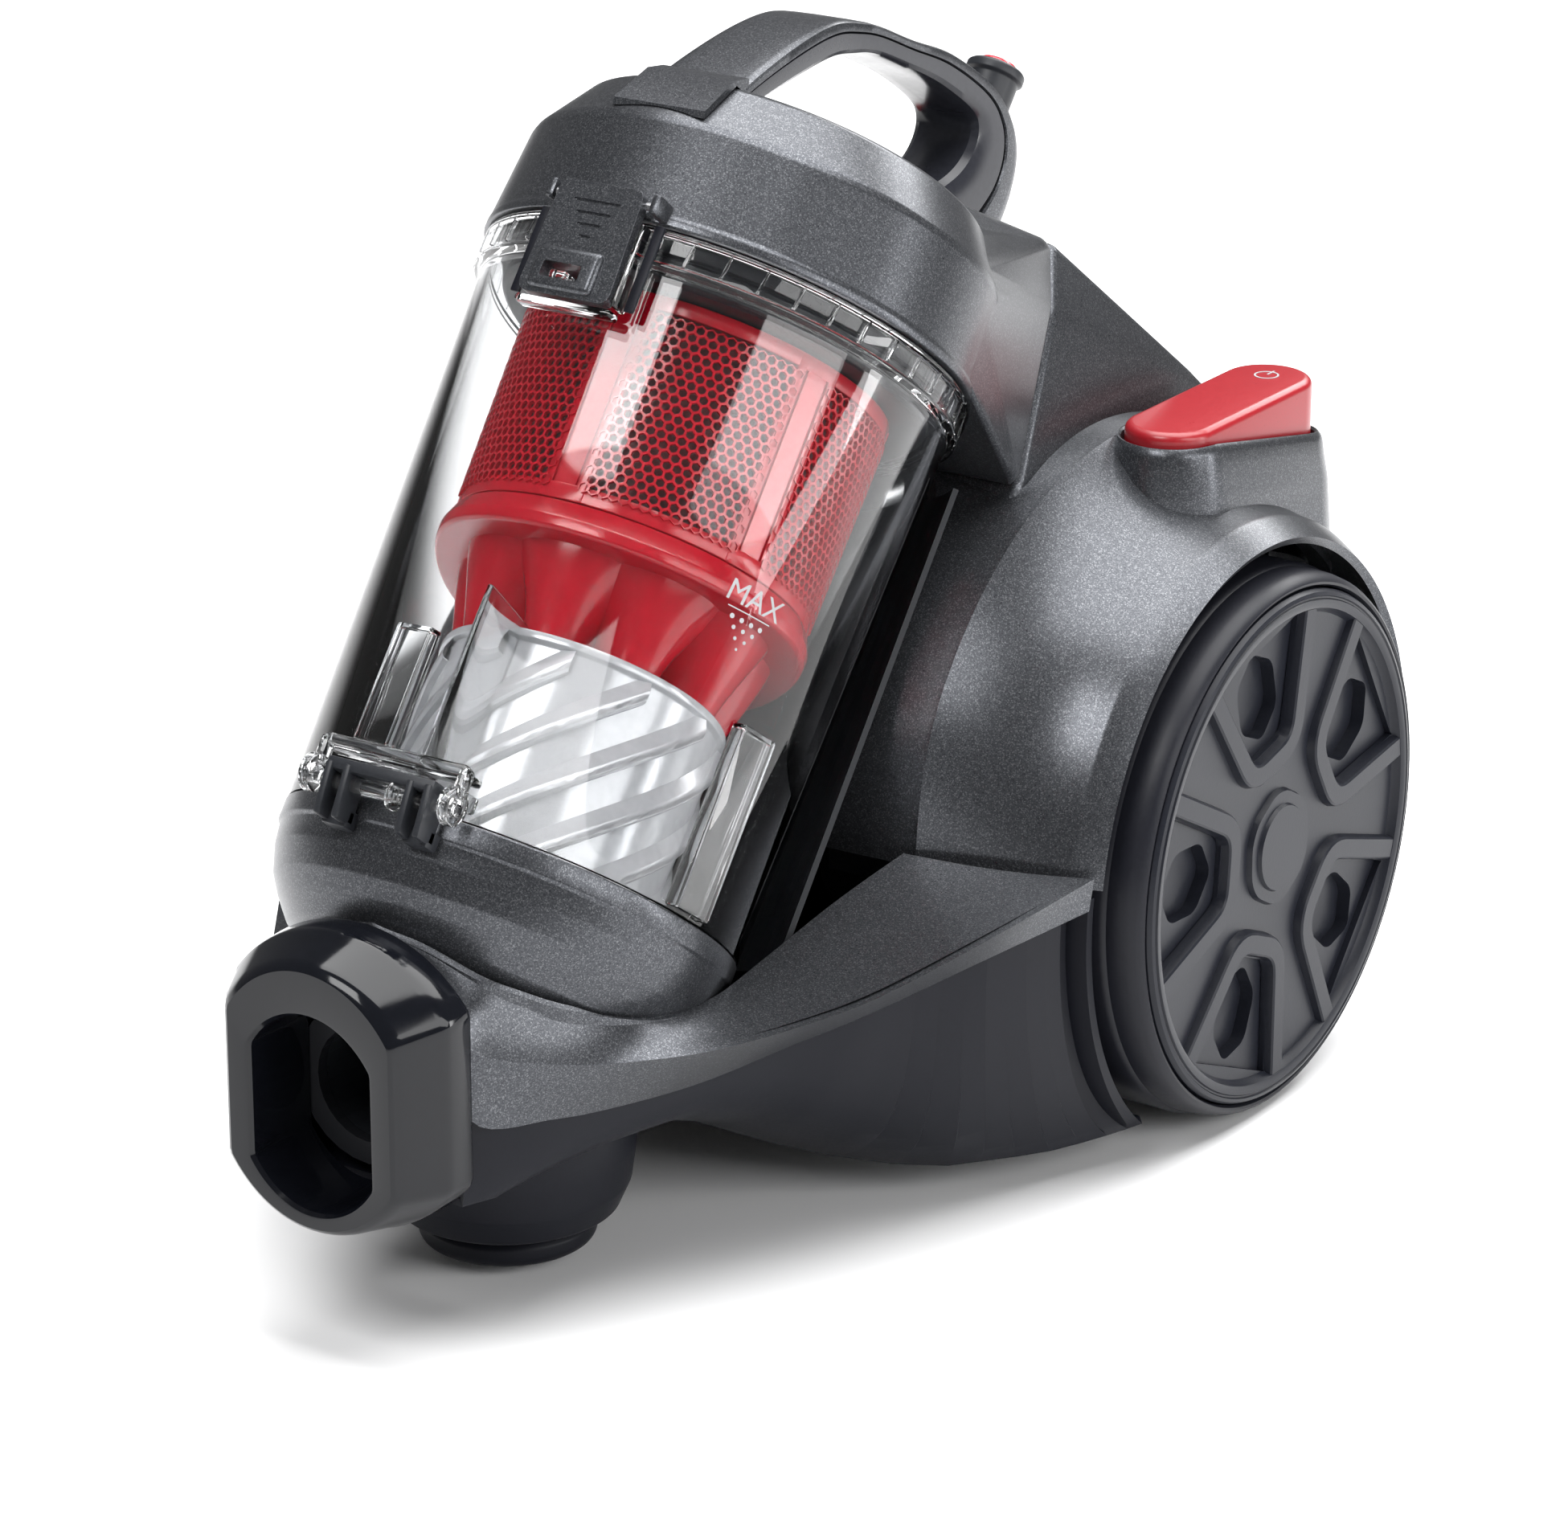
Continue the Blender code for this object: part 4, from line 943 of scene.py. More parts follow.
RAILS = ((-12.5, 7.4, 0.6, 56.0), (-100.0, 7.0, 14.0, 50.0))
rail_parts = []
for turn_degrees, half_width, low, high in RAILS:
    rail = block((67.8, -half_width, low), (73.4, half_width, high), 1.0, 3)
    hollow_rail = block((60.0, 1.3 - half_width, -5), (72.1, half_width - 1.3, high - 1.3), 0.4, 1)
    rail_parts.append(turned(carve(rail, hollow_rail), turn_degrees))
fin = block((47.0, -0.9, 6.0), (66.0, 0.9, 68.0), 0.5)
for vert in fin.verts:
    if vert.co.z > 60:
        vert.co.x -= (66.0 - vert.co.x) * 0.7
rail_parts.append(turned(fin, -88))
bin_rails = piece("clear_rails", join(*rail_parts), clear_plastic, lean=True)
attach(bin_rails, "bin")

bracket_parts = []
for side in (-1, 1):
    eye = turn([(2.3, 0), (5.6, 0), (5.6, 3.4), (2.3, 3.4)], 48, fillet=0.6)
    x = side * HINGE_X
    bracket_parts += [
        laid_across(eye, x - 1.7, -HINGE_W, HINGE_S + 1),
        block((x - 1.7, -HINGE_W + 1, 1.6), (x + 1.7, -66.5, 6.6), 0.8),
        block((x - 1.5, -HINGE_W - 1.5, 4.0), (x + 1.5, -HINGE_W + 3.5, 12.5), 1.2),
    ]
bracket_parts.append(block((-25, -HINGE_W - 1.5, 10.2), (25, -HINGE_W + 3.5, 13.2), 1.4, 3))
bracket_parts.append(block((-25, -HINGE_W + 1.5, 9.2), (25, -67.0, 11.6), 0.8))
hinge_bracket = piece("hinge_bracket", join(*bracket_parts), clear_plastic, lean=True)
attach(hinge_bracket, "bin")

rod_parts = [
    pin(2.0, 53.0, -26.5, -HINGE_W, HINGE_S),
    pin(4.3, 1.4, 4.0, -HINGE_W, HINGE_S),
]
hinge_rod = piece("hinge_rod", join(*rod_parts), clear_plastic, lean=True)
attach(hinge_rod, "bin")
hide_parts("door_hinge_pin")

# ---------------------------------------------------------------- level mark on the bin
# Printed in grey on the clear wall: the word MAX over a line and a triangle of dots. It is
# drawn flat, then wrapped round the wall with a hair of ink thickness.
print_grey = moulded("print_grey", (0.30, 0.30, 0.31), 0.5, grain=0.002)
MARK_TURN = math.radians(-26)
MARK_S = 84.5
INK = 0.06


def wall_radius(s):
    return between(68.8, 72.8, s / 165.0)


def printed(shape):
    """Wrap a flat drawing in millimetres round the bin's wall at the mark's place."""
    for vert in shape.verts:
        s = MARK_S + vert.co.y
        radius = wall_radius(s) + 0.03 + (INK if vert.co.z > 0.01 else 0.0)
        way = MARK_TURN + vert.co.x / radius
        vert.co = (radius * math.cos(way), radius * math.sin(way), s)
    return shape


letters = bpy.data.curves.new("level_letters", "FONT")
letters.body = "MAX"
letters.size = 9.0
letters.align_x = "CENTER"
letters.extrude = INK / 2
letters_object = bpy.data.objects.new("level_letters", letters)
bpy.context.collection.objects.link(letters_object)
letters_shape = bmesh.new()
letters_shape.from_mesh(
    letters_object.evaluated_get(bpy.context.evaluated_depsgraph_get()).to_mesh()
)
bpy.data.objects.remove(letters_object)
shifted(letters_shape, 0, 1.6, INK / 2)
for vert in letters_shape.verts:
    vert.co.x += vert.co.y * 0.08
mark_parts = [letters_shape]
line = bmesh.new()
bmesh.ops.create_grid(line, x_segments=16, y_segments=1, size=0.5)
bmesh.ops.scale(line, vec=(15, 0.35, 1), verts=line.verts)
mark_parts.append(line)
for row, count in enumerate((4, 3, 2, 1)):
    for index in range(count):
        dot = bmesh.new()
        bmesh.ops.create_circle(dot, cap_ends=True, segments=12, radius=0.75 - 0.1 * row)
        mark_parts.append(shifted(dot, (index - (count - 1) / 2) * 3.4, -2.4 - 2.7 * row, 0))
for flat in mark_parts[1:]:
    grown = bmesh.ops.extrude_face_region(flat, geom=flat.faces[:])["geom"]
    for vert in verts_of(grown):
        vert.co.z += INK
level_mark = piece("level_mark", printed(join(*mark_parts)), print_grey, lean=True)
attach(level_mark, "bin")

# ---------------------------------------------------------------- fine dust cup
# Frosted silver cup that stands in the middle of the bin under the cones. Long slanted
# ribs are moulded round it, each with a bright crest and a shaded underside.
frosted = moulded(
    "frosted_silver", (0.60, 0.61, 0.63), 0.2, metallic=0.15, grain=0.003, colour_play=0.05,
    roughness_play=0.05, relief=0.02,
)
frosted.node_tree.nodes["Principled BSDF"].inputs["Transmission Weight"].default_value = 0.12
CUP_RADIUS = 44.0
CUP_TOP = 66.0
CUP_RIB_COUNT = 12
CUP_RIB_TURN = math.radians(86)
CUP_RIB_SECTION = [
    (-3.6, -0.6), (-3.4, 1.8), (-2.6, 2.6), (-0.6, 2.6), (0.4, 2.2), (5.4, 0.1), (5.4, -0.6),
]


def cup_rib(start):
    def place(u, v):
        rise, outset = CUP_RIB_SECTION[round(v * (len(CUP_RIB_SECTION) - 1))]
        way = start + CUP_RIB_TURN * u
        s = between(4.0, CUP_TOP - 5.0, u) + rise
        radius = CUP_RADIUS + outset
        return Vector((radius * math.cos(way), radius * math.sin(way), s))

    shape = skin(48, len(CUP_RIB_SECTION) - 1, place)
    bmesh.ops.solidify(shape, geom=shape.faces[:], thickness=0.4)
    return close_up(shape)


cup_shape = turn(
    [(42.4, 1), (44, 1), (44, 63.0), (45.6, 63.8), (45.6, 66), (42.4, 66)], 128, fillet=0.3
)
cup_parts = [cup_shape]
cup_parts += [cup_rib(math.tau * index / CUP_RIB_COUNT) for index in range(CUP_RIB_COUNT)]
dust_cup = piece("slant_ribbed_cup", join(*cup_parts), frosted, lean=True)
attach(dust_cup, "bin")
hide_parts("fine_dust_cup")

# ---------------------------------------------------------------- cyclone in red plastic
# The cones, their flange and the perforated shroud are glossy red mouldings. The shroud
# has honeycomb panels between smooth posts, and a grooved dark collar holds it in the lid.
glossy_red = moulded(
    "glossy_red", (0.50, 0.004, 0.016), 0.2, grain=0.003, colour_play=0.05, roughness_play=0.05,
    relief=0.02,
)
CONE_COUNT = 9
SHROUD_RADIUS = 55.4
SHROUD_LOW = 100.4
SHROUD_HIGH = 164.6
PANEL_COUNT = 6
POST_SHARE = 0.2
HOLE_PITCH = 3.05


def cone_skin(u, v):
    """Cones side by side round the axis: they taper down and deep grooves part them."""
    way = math.tau * u
    s = between(58.0, 96.0, v)
    lobe = abs(math.cos(way * CONE_COUNT / 2))
    depth = between(17.0, 3.0, smooth_step((s - 60) / 36))
    radius = between(42.0, 51.0, smooth_step((s - 56) / 42)) - depth * (1 - lobe) ** 1.3
    return Vector((radius * math.cos(way), radius * math.sin(way), s))


cone_shape = walled(skin(252, 20, cone_skin), 1.6)
cones = piece("tapered_cones", cone_shape, glossy_red, lean=True, sharp=40)
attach(cones, "bin")
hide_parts("cyclone_cones")

flange_shape = turn(
    [(38, 91), (57.8, 90.4), (58.8, 91.4), (58.8, 94.4), (56.6, 99.4), (55.6, 100.2), (38, 100.2)],
    144, fillet=0.4,
)
flange = piece("shroud_flange", flange_shape, glossy_red, lean=True)
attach(flange, "bin")
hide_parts("cyclone_skirt")


def honeycomb(columns, rows):
    """Flat web of six-sided holes; each cell is a ring of six faces shared with its neighbours."""
    shape = bmesh.new()
    cell = HOLE_PITCH / math.sqrt(3)
    for row in range(rows):
        for column in range(columns - row % 2):
            ring = bmesh.new()
            bmesh.ops.create_circle(ring, cap_ends=True, segments=6, radius=cell)
            inner = bmesh.ops.inset_individual(ring, faces=ring.faces[:], thickness=0.42)
            hole = [face for face in ring.faces if face not in inner["faces"]]
            bmesh.ops.delete(ring, geom=hole, context="FACES_ONLY")
            shifted(ring, (column + 0.5 * (row % 2)) * HOLE_PITCH, row * HOLE_PITCH * 0.866, 0)
            shape = join(shape, ring)
    bmesh.ops.remove_doubles(shape, verts=shape.verts, dist=0.02)
    return shape


panel_turn = math.tau / PANEL_COUNT
panel_columns = int(panel_turn * (1 - POST_SHARE) * SHROUD_RADIUS / HOLE_PITCH) + 1
panel_rows = int((SHROUD_HIGH - SHROUD_LOW - 8) / (HOLE_PITCH * 0.866))
flat_panel = honeycomb(panel_columns, panel_rows)
panel_width = (panel_columns - 1) * HOLE_PITCH
panel_mesh = bpy.data.meshes.new("honeycomb")
flat_panel.to_mesh(panel_mesh)
flat_panel.free()
shroud_parts = []
for index in range(PANEL_COUNT):
    panel = bmesh.new()
    panel.from_mesh(panel_mesh)
    for vert in panel.verts:
        way = (vert.co.x - panel_width / 2) / SHROUD_RADIUS + panel_turn * (index + 0.1)
        s = SHROUD_LOW + 4.5 + vert.co.y
        vert.co = (SHROUD_RADIUS * math.cos(way), SHROUD_RADIUS * math.sin(way), s)
    bmesh.ops.recalc_face_normals(panel, faces=panel.faces)
    bmesh.ops.solidify(panel, geom=panel.faces[:], thickness=-1.2)
    shroud_parts.append(panel)
    post_turn = panel_turn * (index + 0.6)
    half_post = SHROUD_RADIUS * panel_turn - panel_width
    post = block((SHROUD_RADIUS - 2.0, -half_post / 2 - 0.9, SHROUD_LOW),
                 (SHROUD_RADIUS + 0.7, half_post / 2 + 0.9, SHROUD_HIGH), 0.5)
    for vert in post.verts:
        vert.co.x -= vert.co.y ** 2 / (2 * SHROUD_RADIUS)
    for groove in (-0.62, 0.62):
        slot_cut = block((SHROUD_RADIUS - 0.6, half_post * groove / 2 - 0.5, SHROUD_LOW + 3),
                         (SHROUD_RADIUS + 5, half_post * groove / 2 + 0.5, SHROUD_HIGH - 3))
        post = carve(post, slot_cut)
    bmesh.ops.rotate(
        post, cent=(0, 0, 0), verts=post.verts, matrix=Matrix.Rotation(post_turn, 3, "Z")
    )
    shroud_parts.append(post)
bpy.data.meshes.remove(panel_mesh)
shroud_parts.append(
    turn([(53.6, 100.4), (55.9, 100.4), (55.9, 105.2), (53.6, 105.2)], 144, fillet=0.3)
)
shroud_parts.append(
    turn([(53.6, 160.2), (55.9, 160.2), (55.9, 164.6), (53.6, 164.6)], 144, fillet=0.3)
)
shroud = piece("honeycomb_shroud", join(*shroud_parts), glossy_red, lean=True)
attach(shroud, "bin")
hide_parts("cyclone_shroud")

deep_red = moulded("deep_red", (0.09, 0.002, 0.004), 0.5, grain=0.002)
core_shape = turn([(46, 100.4), (50.5, 100.4), (50.5, 164.6), (46, 164.6)], 96)
shroud_core = piece("shroud_core", core_shape, deep_red, lean=True)
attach(shroud_core, "bin")

collar_shape = turn(
    [(44, 165), (64.6, 165), (66.2, 165.8), (66.2, 167.8), (65.4, 168.2), (65.4, 168.8),
     (67.4, 169.2), (67.4, 171.2), (66.8, 171.6), (66.8, 172.2), (69.4, 172.6), (69.4, 177.0),
     (44, 177.0)], 128, fillet=0.2, fillet_steps=2,
)
grooved_collar = piece("grooved_collar", collar_shape, dark_grey, lean=True)
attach(grooved_collar, "bin")
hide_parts("shroud_collar")

# ---------------------------------------------------------------- bin door
# Bowl-shaped door in the casing's grey that closes the bin's foot. Its plain lip meets the
# clear wall, and two pairs of dark fingers hang on the hinge rod from a short bar.
door_shape = turn(
    [(0, -38.5), (45, -38.5), (50.4, -37.3), (56.4, -33.0), (61.6, -26.6), (64.9, -21.4),
     (67.4, -13.6), (68.2, -7.4), (69.0, -6.8), (69.0, -0.5), (66.6, -0.5), (65.4, -12),
     (62.0, -22.0), (54.0, -31.0), (44, -36.0), (0, -36.0)], 160, closed=False, fillet=0.5,
)
door_bowl = piece("door_bowl", door_shape, casing_grey, lean=True, sharp=30)
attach(door_bowl, "bin_door")
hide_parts("bin_door")

finger_parts = [block((-18.6, -79.6, 2.6), (18.6, -73.6, 6.2), 0.9)]
for side in (-1, 1):
    for offset in (-3.1, 3.1):
        x = side * 14 + offset
        finger = block((x - 1.2, -80.4, -10.5), (x + 1.2, -70.6, 4.6), 0.0)
        for vert in finger.verts:
            if vert.co.z < 0:
                vert.co.y = -77.6 if vert.co.y < -75 else -69.0
        rounded(finger, finger.edges[:], 0.8, 2)
        finger_parts.append(finger)
    finger_parts.append(block((side * 14 - 4.3, -72.6, -11.4), (side * 14 + 4.3, -66.6, -6.0), 0.8))
door_fingers = piece("door_fingers", join(*finger_parts), dark_grey, lean=True)
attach(door_fingers, "bin_door")

# ---------------------------------------------------------------- lid
# Deep cap in the casing's grey over the bin's mouth, with a broad chamfer round its top.
# A facetted shoulder grows from its back to carry its lines on to the neck.
LID_OUTLINE = [
    (0, 230.0), (60.8, 228.2), (62.6, 227.0), (72.9, 211.4), (73.6, 209.2), (75.9, 181.6),
    (76.3, 180.6), (76.3, 178.2), (73.2, 178.2), (72.6, 182), (70.0, 208), (58, 224), (0, 226),
]
lid_shape = turn(LID_OUTLINE, 160, closed=False, fillet=0.8, fillet_steps=4)
shoulder_corners = seam_corners(SEAM - SEAM_GAP)
shoulder_corners += [
    Vector((sign * x, y, s))
    for sign in (-1, 1) for x, y, s in ((50, -8, 228), (71.5, 2, 210), (74.4, 2, 184))
]
shoulder = wrapped(shoulder_corners)
rounded(shoulder, shoulder.edges[:], NECK_ROUND, 4)
lid_shape = carve(lid_shape, shoulder, "UNION")
under_lid = turn([(0, 100), (76.0, 100), (76.0, 178.0), (0, 178.0)], 96, False)
lid_shape = carve(lid_shape, under_lid)


def room_skin(u, v):
    return casing_point(between(-110, 110, u), between(60, 160, v), 0.6)


housing_room = walled(skin(40, 60, room_skin), 50)
bmesh.ops.transform(housing_room, matrix=BIN_PLACE.inverted(), verts=housing_room.verts)
lid_shape = carve(lid_shape, housing_room)
lid_cap = piece("lid_cap", lid_shape, casing_grey, lean=True, sharp=28)
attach(lid_cap, "bin")
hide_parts("lid")

# ---------------------------------------------------------------- handle on the lid
# Carrying handle in two shells that meet at a fine parting line: a flat-topped grey upper
# shell and a satin black lower shell that the fingers close round.
HANDLE_SIDE = [
    ((66.5, 214.5), (56.0, 218.0), 16.0), ((53.2, 234.6), (45.5, 229.5), 15.2),
    ((36.0, 255.3), (28.9, 246.4), 14.2), ((22.4, 267.9), (15.5, 259.0), 13.4),
    ((10.0, 274.6), (6.0, 265.0), 13.0), ((-1.9, 279.0), (-5.0, 270.6), 13.0),
    ((-20.5, 284.0), (-23.0, 275.6), 13.0), ((-43.8, 291.0), (-43.0, 280.0), 13.0),
    ((-71.3, 294.0), (-64.0, 282.0), 13.0), ((-88.6, 290.3), (-71.0, 279.6), 13.0),
    ((-98.4, 283.2), (-72.5, 272.0), 13.0), ((-103.0, 272.0), (-68.0, 262.0), 13.0),
    ((-103.6, 259.6), (-54.0, 247.0), 13.0),
]
UPPER_SECTION = [
    (0.96, 0.31), (1.0, 0.29), (1.0, 0.13), (0.97, 0.06), (0.9, 0.015), (0.8, 0.0),
    (0.4, -0.01), (-0.4, -0.01),
    (-0.8, 0.0), (-0.9, 0.015), (-0.97, 0.06), (-1.0, 0.13), (-1.0, 0.29), (-0.96, 0.31),
]
LOWER_SECTION = [
    (0.9, 0.33), (0.98, 0.36), (0.98, 0.62), (0.96, 0.80), (0.88, 0.92), (0.72, 0.985),
    (0.4, 1.0), (-0.4, 1.0), (-0.72, 0.985), (-0.88, 0.92), (-0.96, 0.80), (-0.98, 0.62),
    (-0.98, 0.36), (-0.9, 0.33),
]
FOOT_WEDGE = (
    (15.8, 71.2, 212.8), (15.8, 71.7, 214.8), (15.4, 68.6, 219.2), (15.2, 62.4, 229.0),
    (15.0, 56.0, 233.0), (15.0, 54.0, 229.0), (15.6, 66.0, 212.8),
)
STUB_FOOT_S = 281.5
STUB_ROOM_RADIUS = 8.4
BUTTON_Y = 88.0


def handle_shell(section):
    outer_line = [(0, w, s) for (w, s), _, _ in HANDLE_SIDE]
    inner_line = [(0, w, s) for _, (w, s), _ in HANDLE_SIDE]
    width_line = [(half, 0, 0) for _, _, half in HANDLE_SIDE]
    count = len(section)

    def place(u, v):
        outer = through(outer_line, u)
        inner = through(inner_line, u)
        half_width = through(width_line, u).x
        sideways, depth = section[round(v * count) % count]
        point = outer.lerp(inner, depth)
        return Vector((half_width * sideways, -point.y, point.z))

    shape = skin(96, count, place)
    bmesh.ops.remove_doubles(shape, verts=shape.verts, dist=0.002)
    bmesh.ops.holes_fill(shape, edges=[edge for edge in shape.edges if edge.is_boundary])
    return close_up(shape)


for name, section, finish_of, slot_name, node in (
    ("handle_upper_shell", UPPER_SECTION, casing_grey, "metallic_grey", "handle_top"),
    ("handle_lower_shell", LOWER_SECTION, satin_black, "gloss_black", "handle_under"),
):
    shell_shape = handle_shell(section)
    if name == "handle_upper_shell":
        wedge = wrapped(
            [Vector((sign * x, -w, s)) for sign in (-1, 1) for x, w, s in FOOT_WEDGE]
        )
        shell_shape = carve(shell_shape, wedge, "UNION")
    lid_room = turn([(0, 190), (74.2, 195), (73.9, 210.4), (62.6, 228.3), (0, 230.3)], 96, False)
    shell_shape = carve(shell_shape, lid_room)
    stub_room = turn(
        [(0, STUB_FOOT_S - 0.3), (STUB_ROOM_RADIUS, STUB_FOOT_S - 0.3), (STUB_ROOM_RADIUS, 320),
         (0, 320)], 48, False,
    )
    shell_shape = carve(shell_shape, shifted(stub_room, 0, BUTTON_Y, 0))
    shell = piece(name, shell_shape, finish_of, lean=True, sharp=30)
    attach(shell, "bin")
    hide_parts(node)

# ---------------------------------------------------------------- release button
# Red push button in a dark stub at the rear end of the handle. Both are moulded, and a
# steel spring under the button lifts it.
stub_shape = turn(
    [(7.2, STUB_FOOT_S), (8.0, STUB_FOOT_S), (8.2, 302.8), (9.4, 303.6), (9.4, 306.0),
     (8.6, 306.8), (7.2, 306.8)], 64, fillet=0.3,
)
shifted(stub_shape, 0, BUTTON_Y, 0)
button_stub = piece("button_stub", stub_shape, dark_grey, lean=True)
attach(button_stub, "bin")
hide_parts("button_collar")
button_shape = turn(
    [(0, 298), (6.7, 298), (6.7, 307.2), (5.6, 308.6), (4.6, 308.4), (0, 308.9)], 64, False, 0.4
)
shifted(button_shape, 0, BUTTON_Y, 0)
red_button = piece("red_button", button_shape, glossy_red, lean=True)
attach(red_button, "release_button")
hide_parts("release_button")

# ---------------------------------------------------------------- lid latch
# Moulded grey plate that swings on a pin at the lid's front: finger grooves above, a raised
# boss with a window below, through which the clear hook of the bin shows.
LATCH_FOOT_S = 149.2
LATCH_HEAD_S = 184.4
LATCH_S = 181.0
LATCH_MIDDLE_Y = -80.0
LATCH_HEAD_BACK_Y = -78.6
LATCH_BOSS = ((-12.4, -84.0, 150.4), (9.6, -80.0, 163.4))
LATCH_WINDOW = ((-8.6, -90, 153.6), (4.4, -70, 158.4))
latch_shape = bmesh.new()
bmesh.ops.create_cube(latch_shape, size=1.0)
bmesh.ops.scale(
    latch_shape, vec=(31.2, 4.2, LATCH_HEAD_S - LATCH_FOOT_S), verts=latch_shape.verts
)
corners = [
    edge for edge in latch_shape.edges if abs(edge.verts[0].co.y - edge.verts[1].co.y) > 1
]
rounded(latch_shape, corners, 3.2, 6)
shifted(latch_shape, 0, LATCH_MIDDLE_Y, (LATCH_FOOT_S + LATCH_HEAD_S) / 2)
for vert in latch_shape.verts:
    vert.co.x *= 1 - 0.08 * smooth_step((vert.co.z - LATCH_FOOT_S) / 34)
    if vert.co.z > LATCH_S and vert.co.y > LATCH_MIDDLE_Y:
        vert.co.y = LATCH_HEAD_BACK_Y
latch_shape = carve(latch_shape, block(*LATCH_BOSS, 1.7, 4), "UNION")
latch_shape = carve(latch_shape, block(*LATCH_WINDOW, 0.7))
for half, s in ((8.0, 178.2), (6.0, 174.6), (4.0, 171.0), (2.0, 167.4)):
    latch_shape = carve(latch_shape, block((-half, -84, s), (half, -81.4, s + 0.9), 0.3, 1))
latch_plate = piece("latch_plate", latch_shape, casing_grey, lean=True, sharp=28)
edge_bevel(latch_plate, 0.4, angle=28)
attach(latch_plate, "latch")
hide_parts("lid_latch")
hook_parts = [
    block((-8.0, -80.6, 154.4), (-2.4, -74.6, 157.4), 0.6),
    block((16.2, -81.4, 149.4), (17.6, -74.8, 175.0), 0.6),
    block((-16.4, -80.6, 146.4), (16.4, -74.8, 148.8), 0.9),
]
latch_hook = piece("clear_hook", join(*hook_parts), clear_plastic, lean=True)
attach(latch_hook, "bin")
seat_parts = [
    block((side * 19.6 - 1.6, -77.0, 150.0), (side * 19.6 + 1.6, -75.6, 176.8), 0.5)
    for side in (-1, 1)
]
latch_seat = piece("latch_seat", join(*seat_parts), matt_black, lean=True)
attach(latch_seat, "bin")
lug_parts = [
    block((side * 17.8 - 1.4, -81.2, 178.6), (side * 17.8 + 1.4, -73.0, 184.4), 0.8)
    for side in (-1, 1)
]
latch_lugs = piece("latch_lugs", join(*lug_parts), casing_grey, lean=True)
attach(latch_lugs, "bin")

# ---------------------------------------------------------------- pedals
# Two rocker pedals in glossy red, the power switch on the right and the cord rewind on
# the left. Each has rolled edges and its sign in a fine raised line near the rear end.
PEDAL_TOP_Z = 212.0
SIGN_Y = 164.0


def pedal_foot(y):
    return 197.0 - 9.0 * smooth_step((y - PEDAL_FRONT_Y - 20) / 66)


pedal_red = moulded(
    "pedal_red", (0.25, 0.006, 0.011), 0.3, grain=0.0009, colour_play=0.06, roughness_play=0.05,
    relief=0.03,
)
for side, label in ((1, "power"), (-1, "rewind")):
    plan = slot_plan(PEDAL_HALF_WIDTH, PEDAL_FRONT_Y, PEDAL_REAR_Y, side * PEDAL_X, 64)
    pedal_shape = raised(plan, POD_FLOOR_Z, PEDAL_TOP_Z)
    for vert in pedal_shape.verts:
        if vert.co.z < PEDAL_TOP_Z - 1:
            vert.co.z = pedal_foot(vert.co.y)
    top_edges = [
        edge for edge in pedal_shape.edges
        if all(vert.co.z > PEDAL_TOP_Z - 1 for vert in edge.verts)
    ]
    rounded(pedal_shape, top_edges, 2.6, 5)
    pedal = piece(f"red_{label}_pedal", pedal_shape, pedal_red, sharp=35)
    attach(pedal, f"{label}_pedal")
    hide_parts(f"{label}_pedal")
    ring = turn([(3.3, 0), (3.9, 0), (3.9, 0.14), (3.3, 0.14)], 48)
    if side > 0:
        bar = block((-0.3, 0.6, 0), (0.3, 4.8, 0.16))
    else:
        bar = block((-2.2, -0.35, 0), (2.2, 0.35, 0.16))
    sign = shifted(join(ring, bar), side * PEDAL_X, SIGN_Y, PEDAL_TOP_Z)
    pedal_sign = piece(f"{label}_sign", sign, print_grey)
    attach(pedal_sign, f"{label}_pedal")

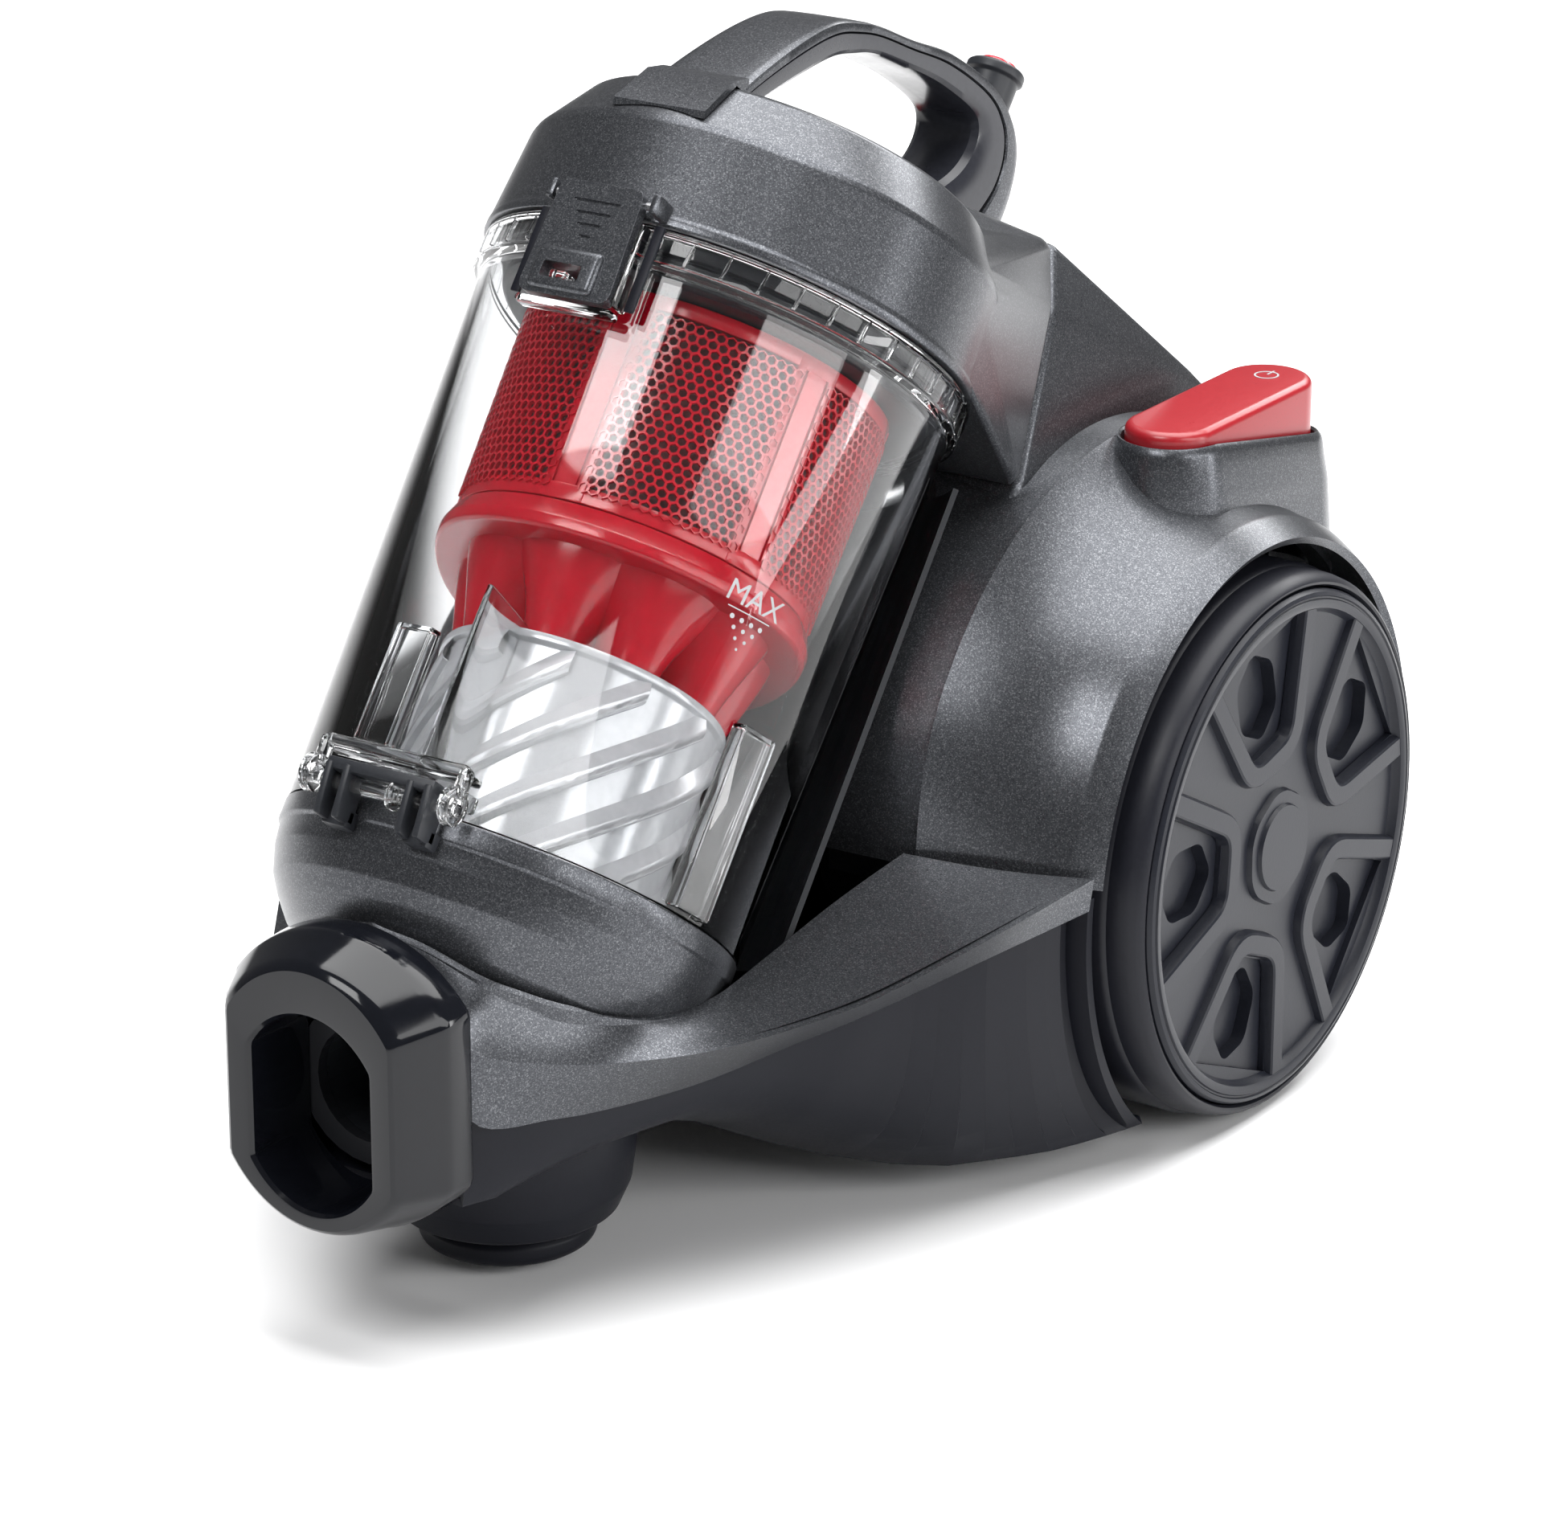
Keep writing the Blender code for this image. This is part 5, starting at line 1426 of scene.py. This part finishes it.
# ---------------------------------------------------------------- exhaust grille
# Hinged cover at the back in the casing's grey, curved with the housing and slotted for
# the filtered air.
GRILLE_SLOTS = 9
FIRST_SLOT_Z = 79.0
SLOT_PITCH = 6.2
SLOT_HEIGHT = 2.8


def grille_skin(u, v):
    return casing_point(between(-42, 42, u), between(-8.5, 31.0, v))


grille_shape = walled(skin(28, 40, grille_skin), 2.4)
for row in range(GRILLE_SLOTS):
    low = FIRST_SLOT_Z + row * SLOT_PITCH
    air_slot = block((-34, 150, low), (34, 230, low + SLOT_HEIGHT), 1.2, 3)
    grille_shape = carve(grille_shape, air_slot)
grille_cover = piece("slotted_grille", grille_shape, casing_grey, sharp=28)
edge_bevel(grille_cover, 0.4, angle=28)
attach(grille_cover, "exhaust_grille")
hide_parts("exhaust_grille")

# ---------------------------------------------------------------- parts kept as they are
# Pins, screws, springs, seals, filters, the bin's cradle and the works inside keep their
# drawn shapes. Each takes the finish of what it is made of.
steel = moulded(
    "turned_steel", (0.55, 0.55, 0.56), 0.28, metallic=1.0, grain=0.0006, colour_play=0.06
)
motor_alloy = moulded(
    "cast_alloy", (0.38, 0.385, 0.4), 0.45, metallic=0.8, grain=0.0012, relief=0.2
)
filter_foam = moulded(
    "open_cell_foam", (0.66, 0.66, 0.67), 0.9, grain=0.0016, colour_play=0.3, relief=0.8
)
KEPT_FINISHES = (
    (steel, ("axle_left", "axle_right", "base_screw_1", "base_screw_2", "base_screw_3",
             "base_screw_4", "button_spring", "caster_pin", "latch_pin", "motor_core",
             "motor_impeller", "motor_shaft", "power_pedal_spring", "rewind_pedal_spring",
             "reel_axle")),
    (motor_alloy, ("motor_housing",)),
    (soft_rubber, ("caster_wheel", "door_seal", "inlet_seal", "lid_seal", "motor_mount")),
    (dark_grey, ("bin_cradle", "cradle_duct", "cord_reel_drum", "inlet_tube")),
    (matt_black, ("cord_outlet", "power_switch", "wheel_rim_left", "wheel_rim_right")),
    (filter_foam, ("exhaust_filter", "lid_filter")),
    (glossy_red, ("filter_cover",)),
)
for finish_of, nodes in KEPT_FINISHES:
    for node in nodes:
        for material_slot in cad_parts[node].material_slots:
            material_slot.material = finish_of
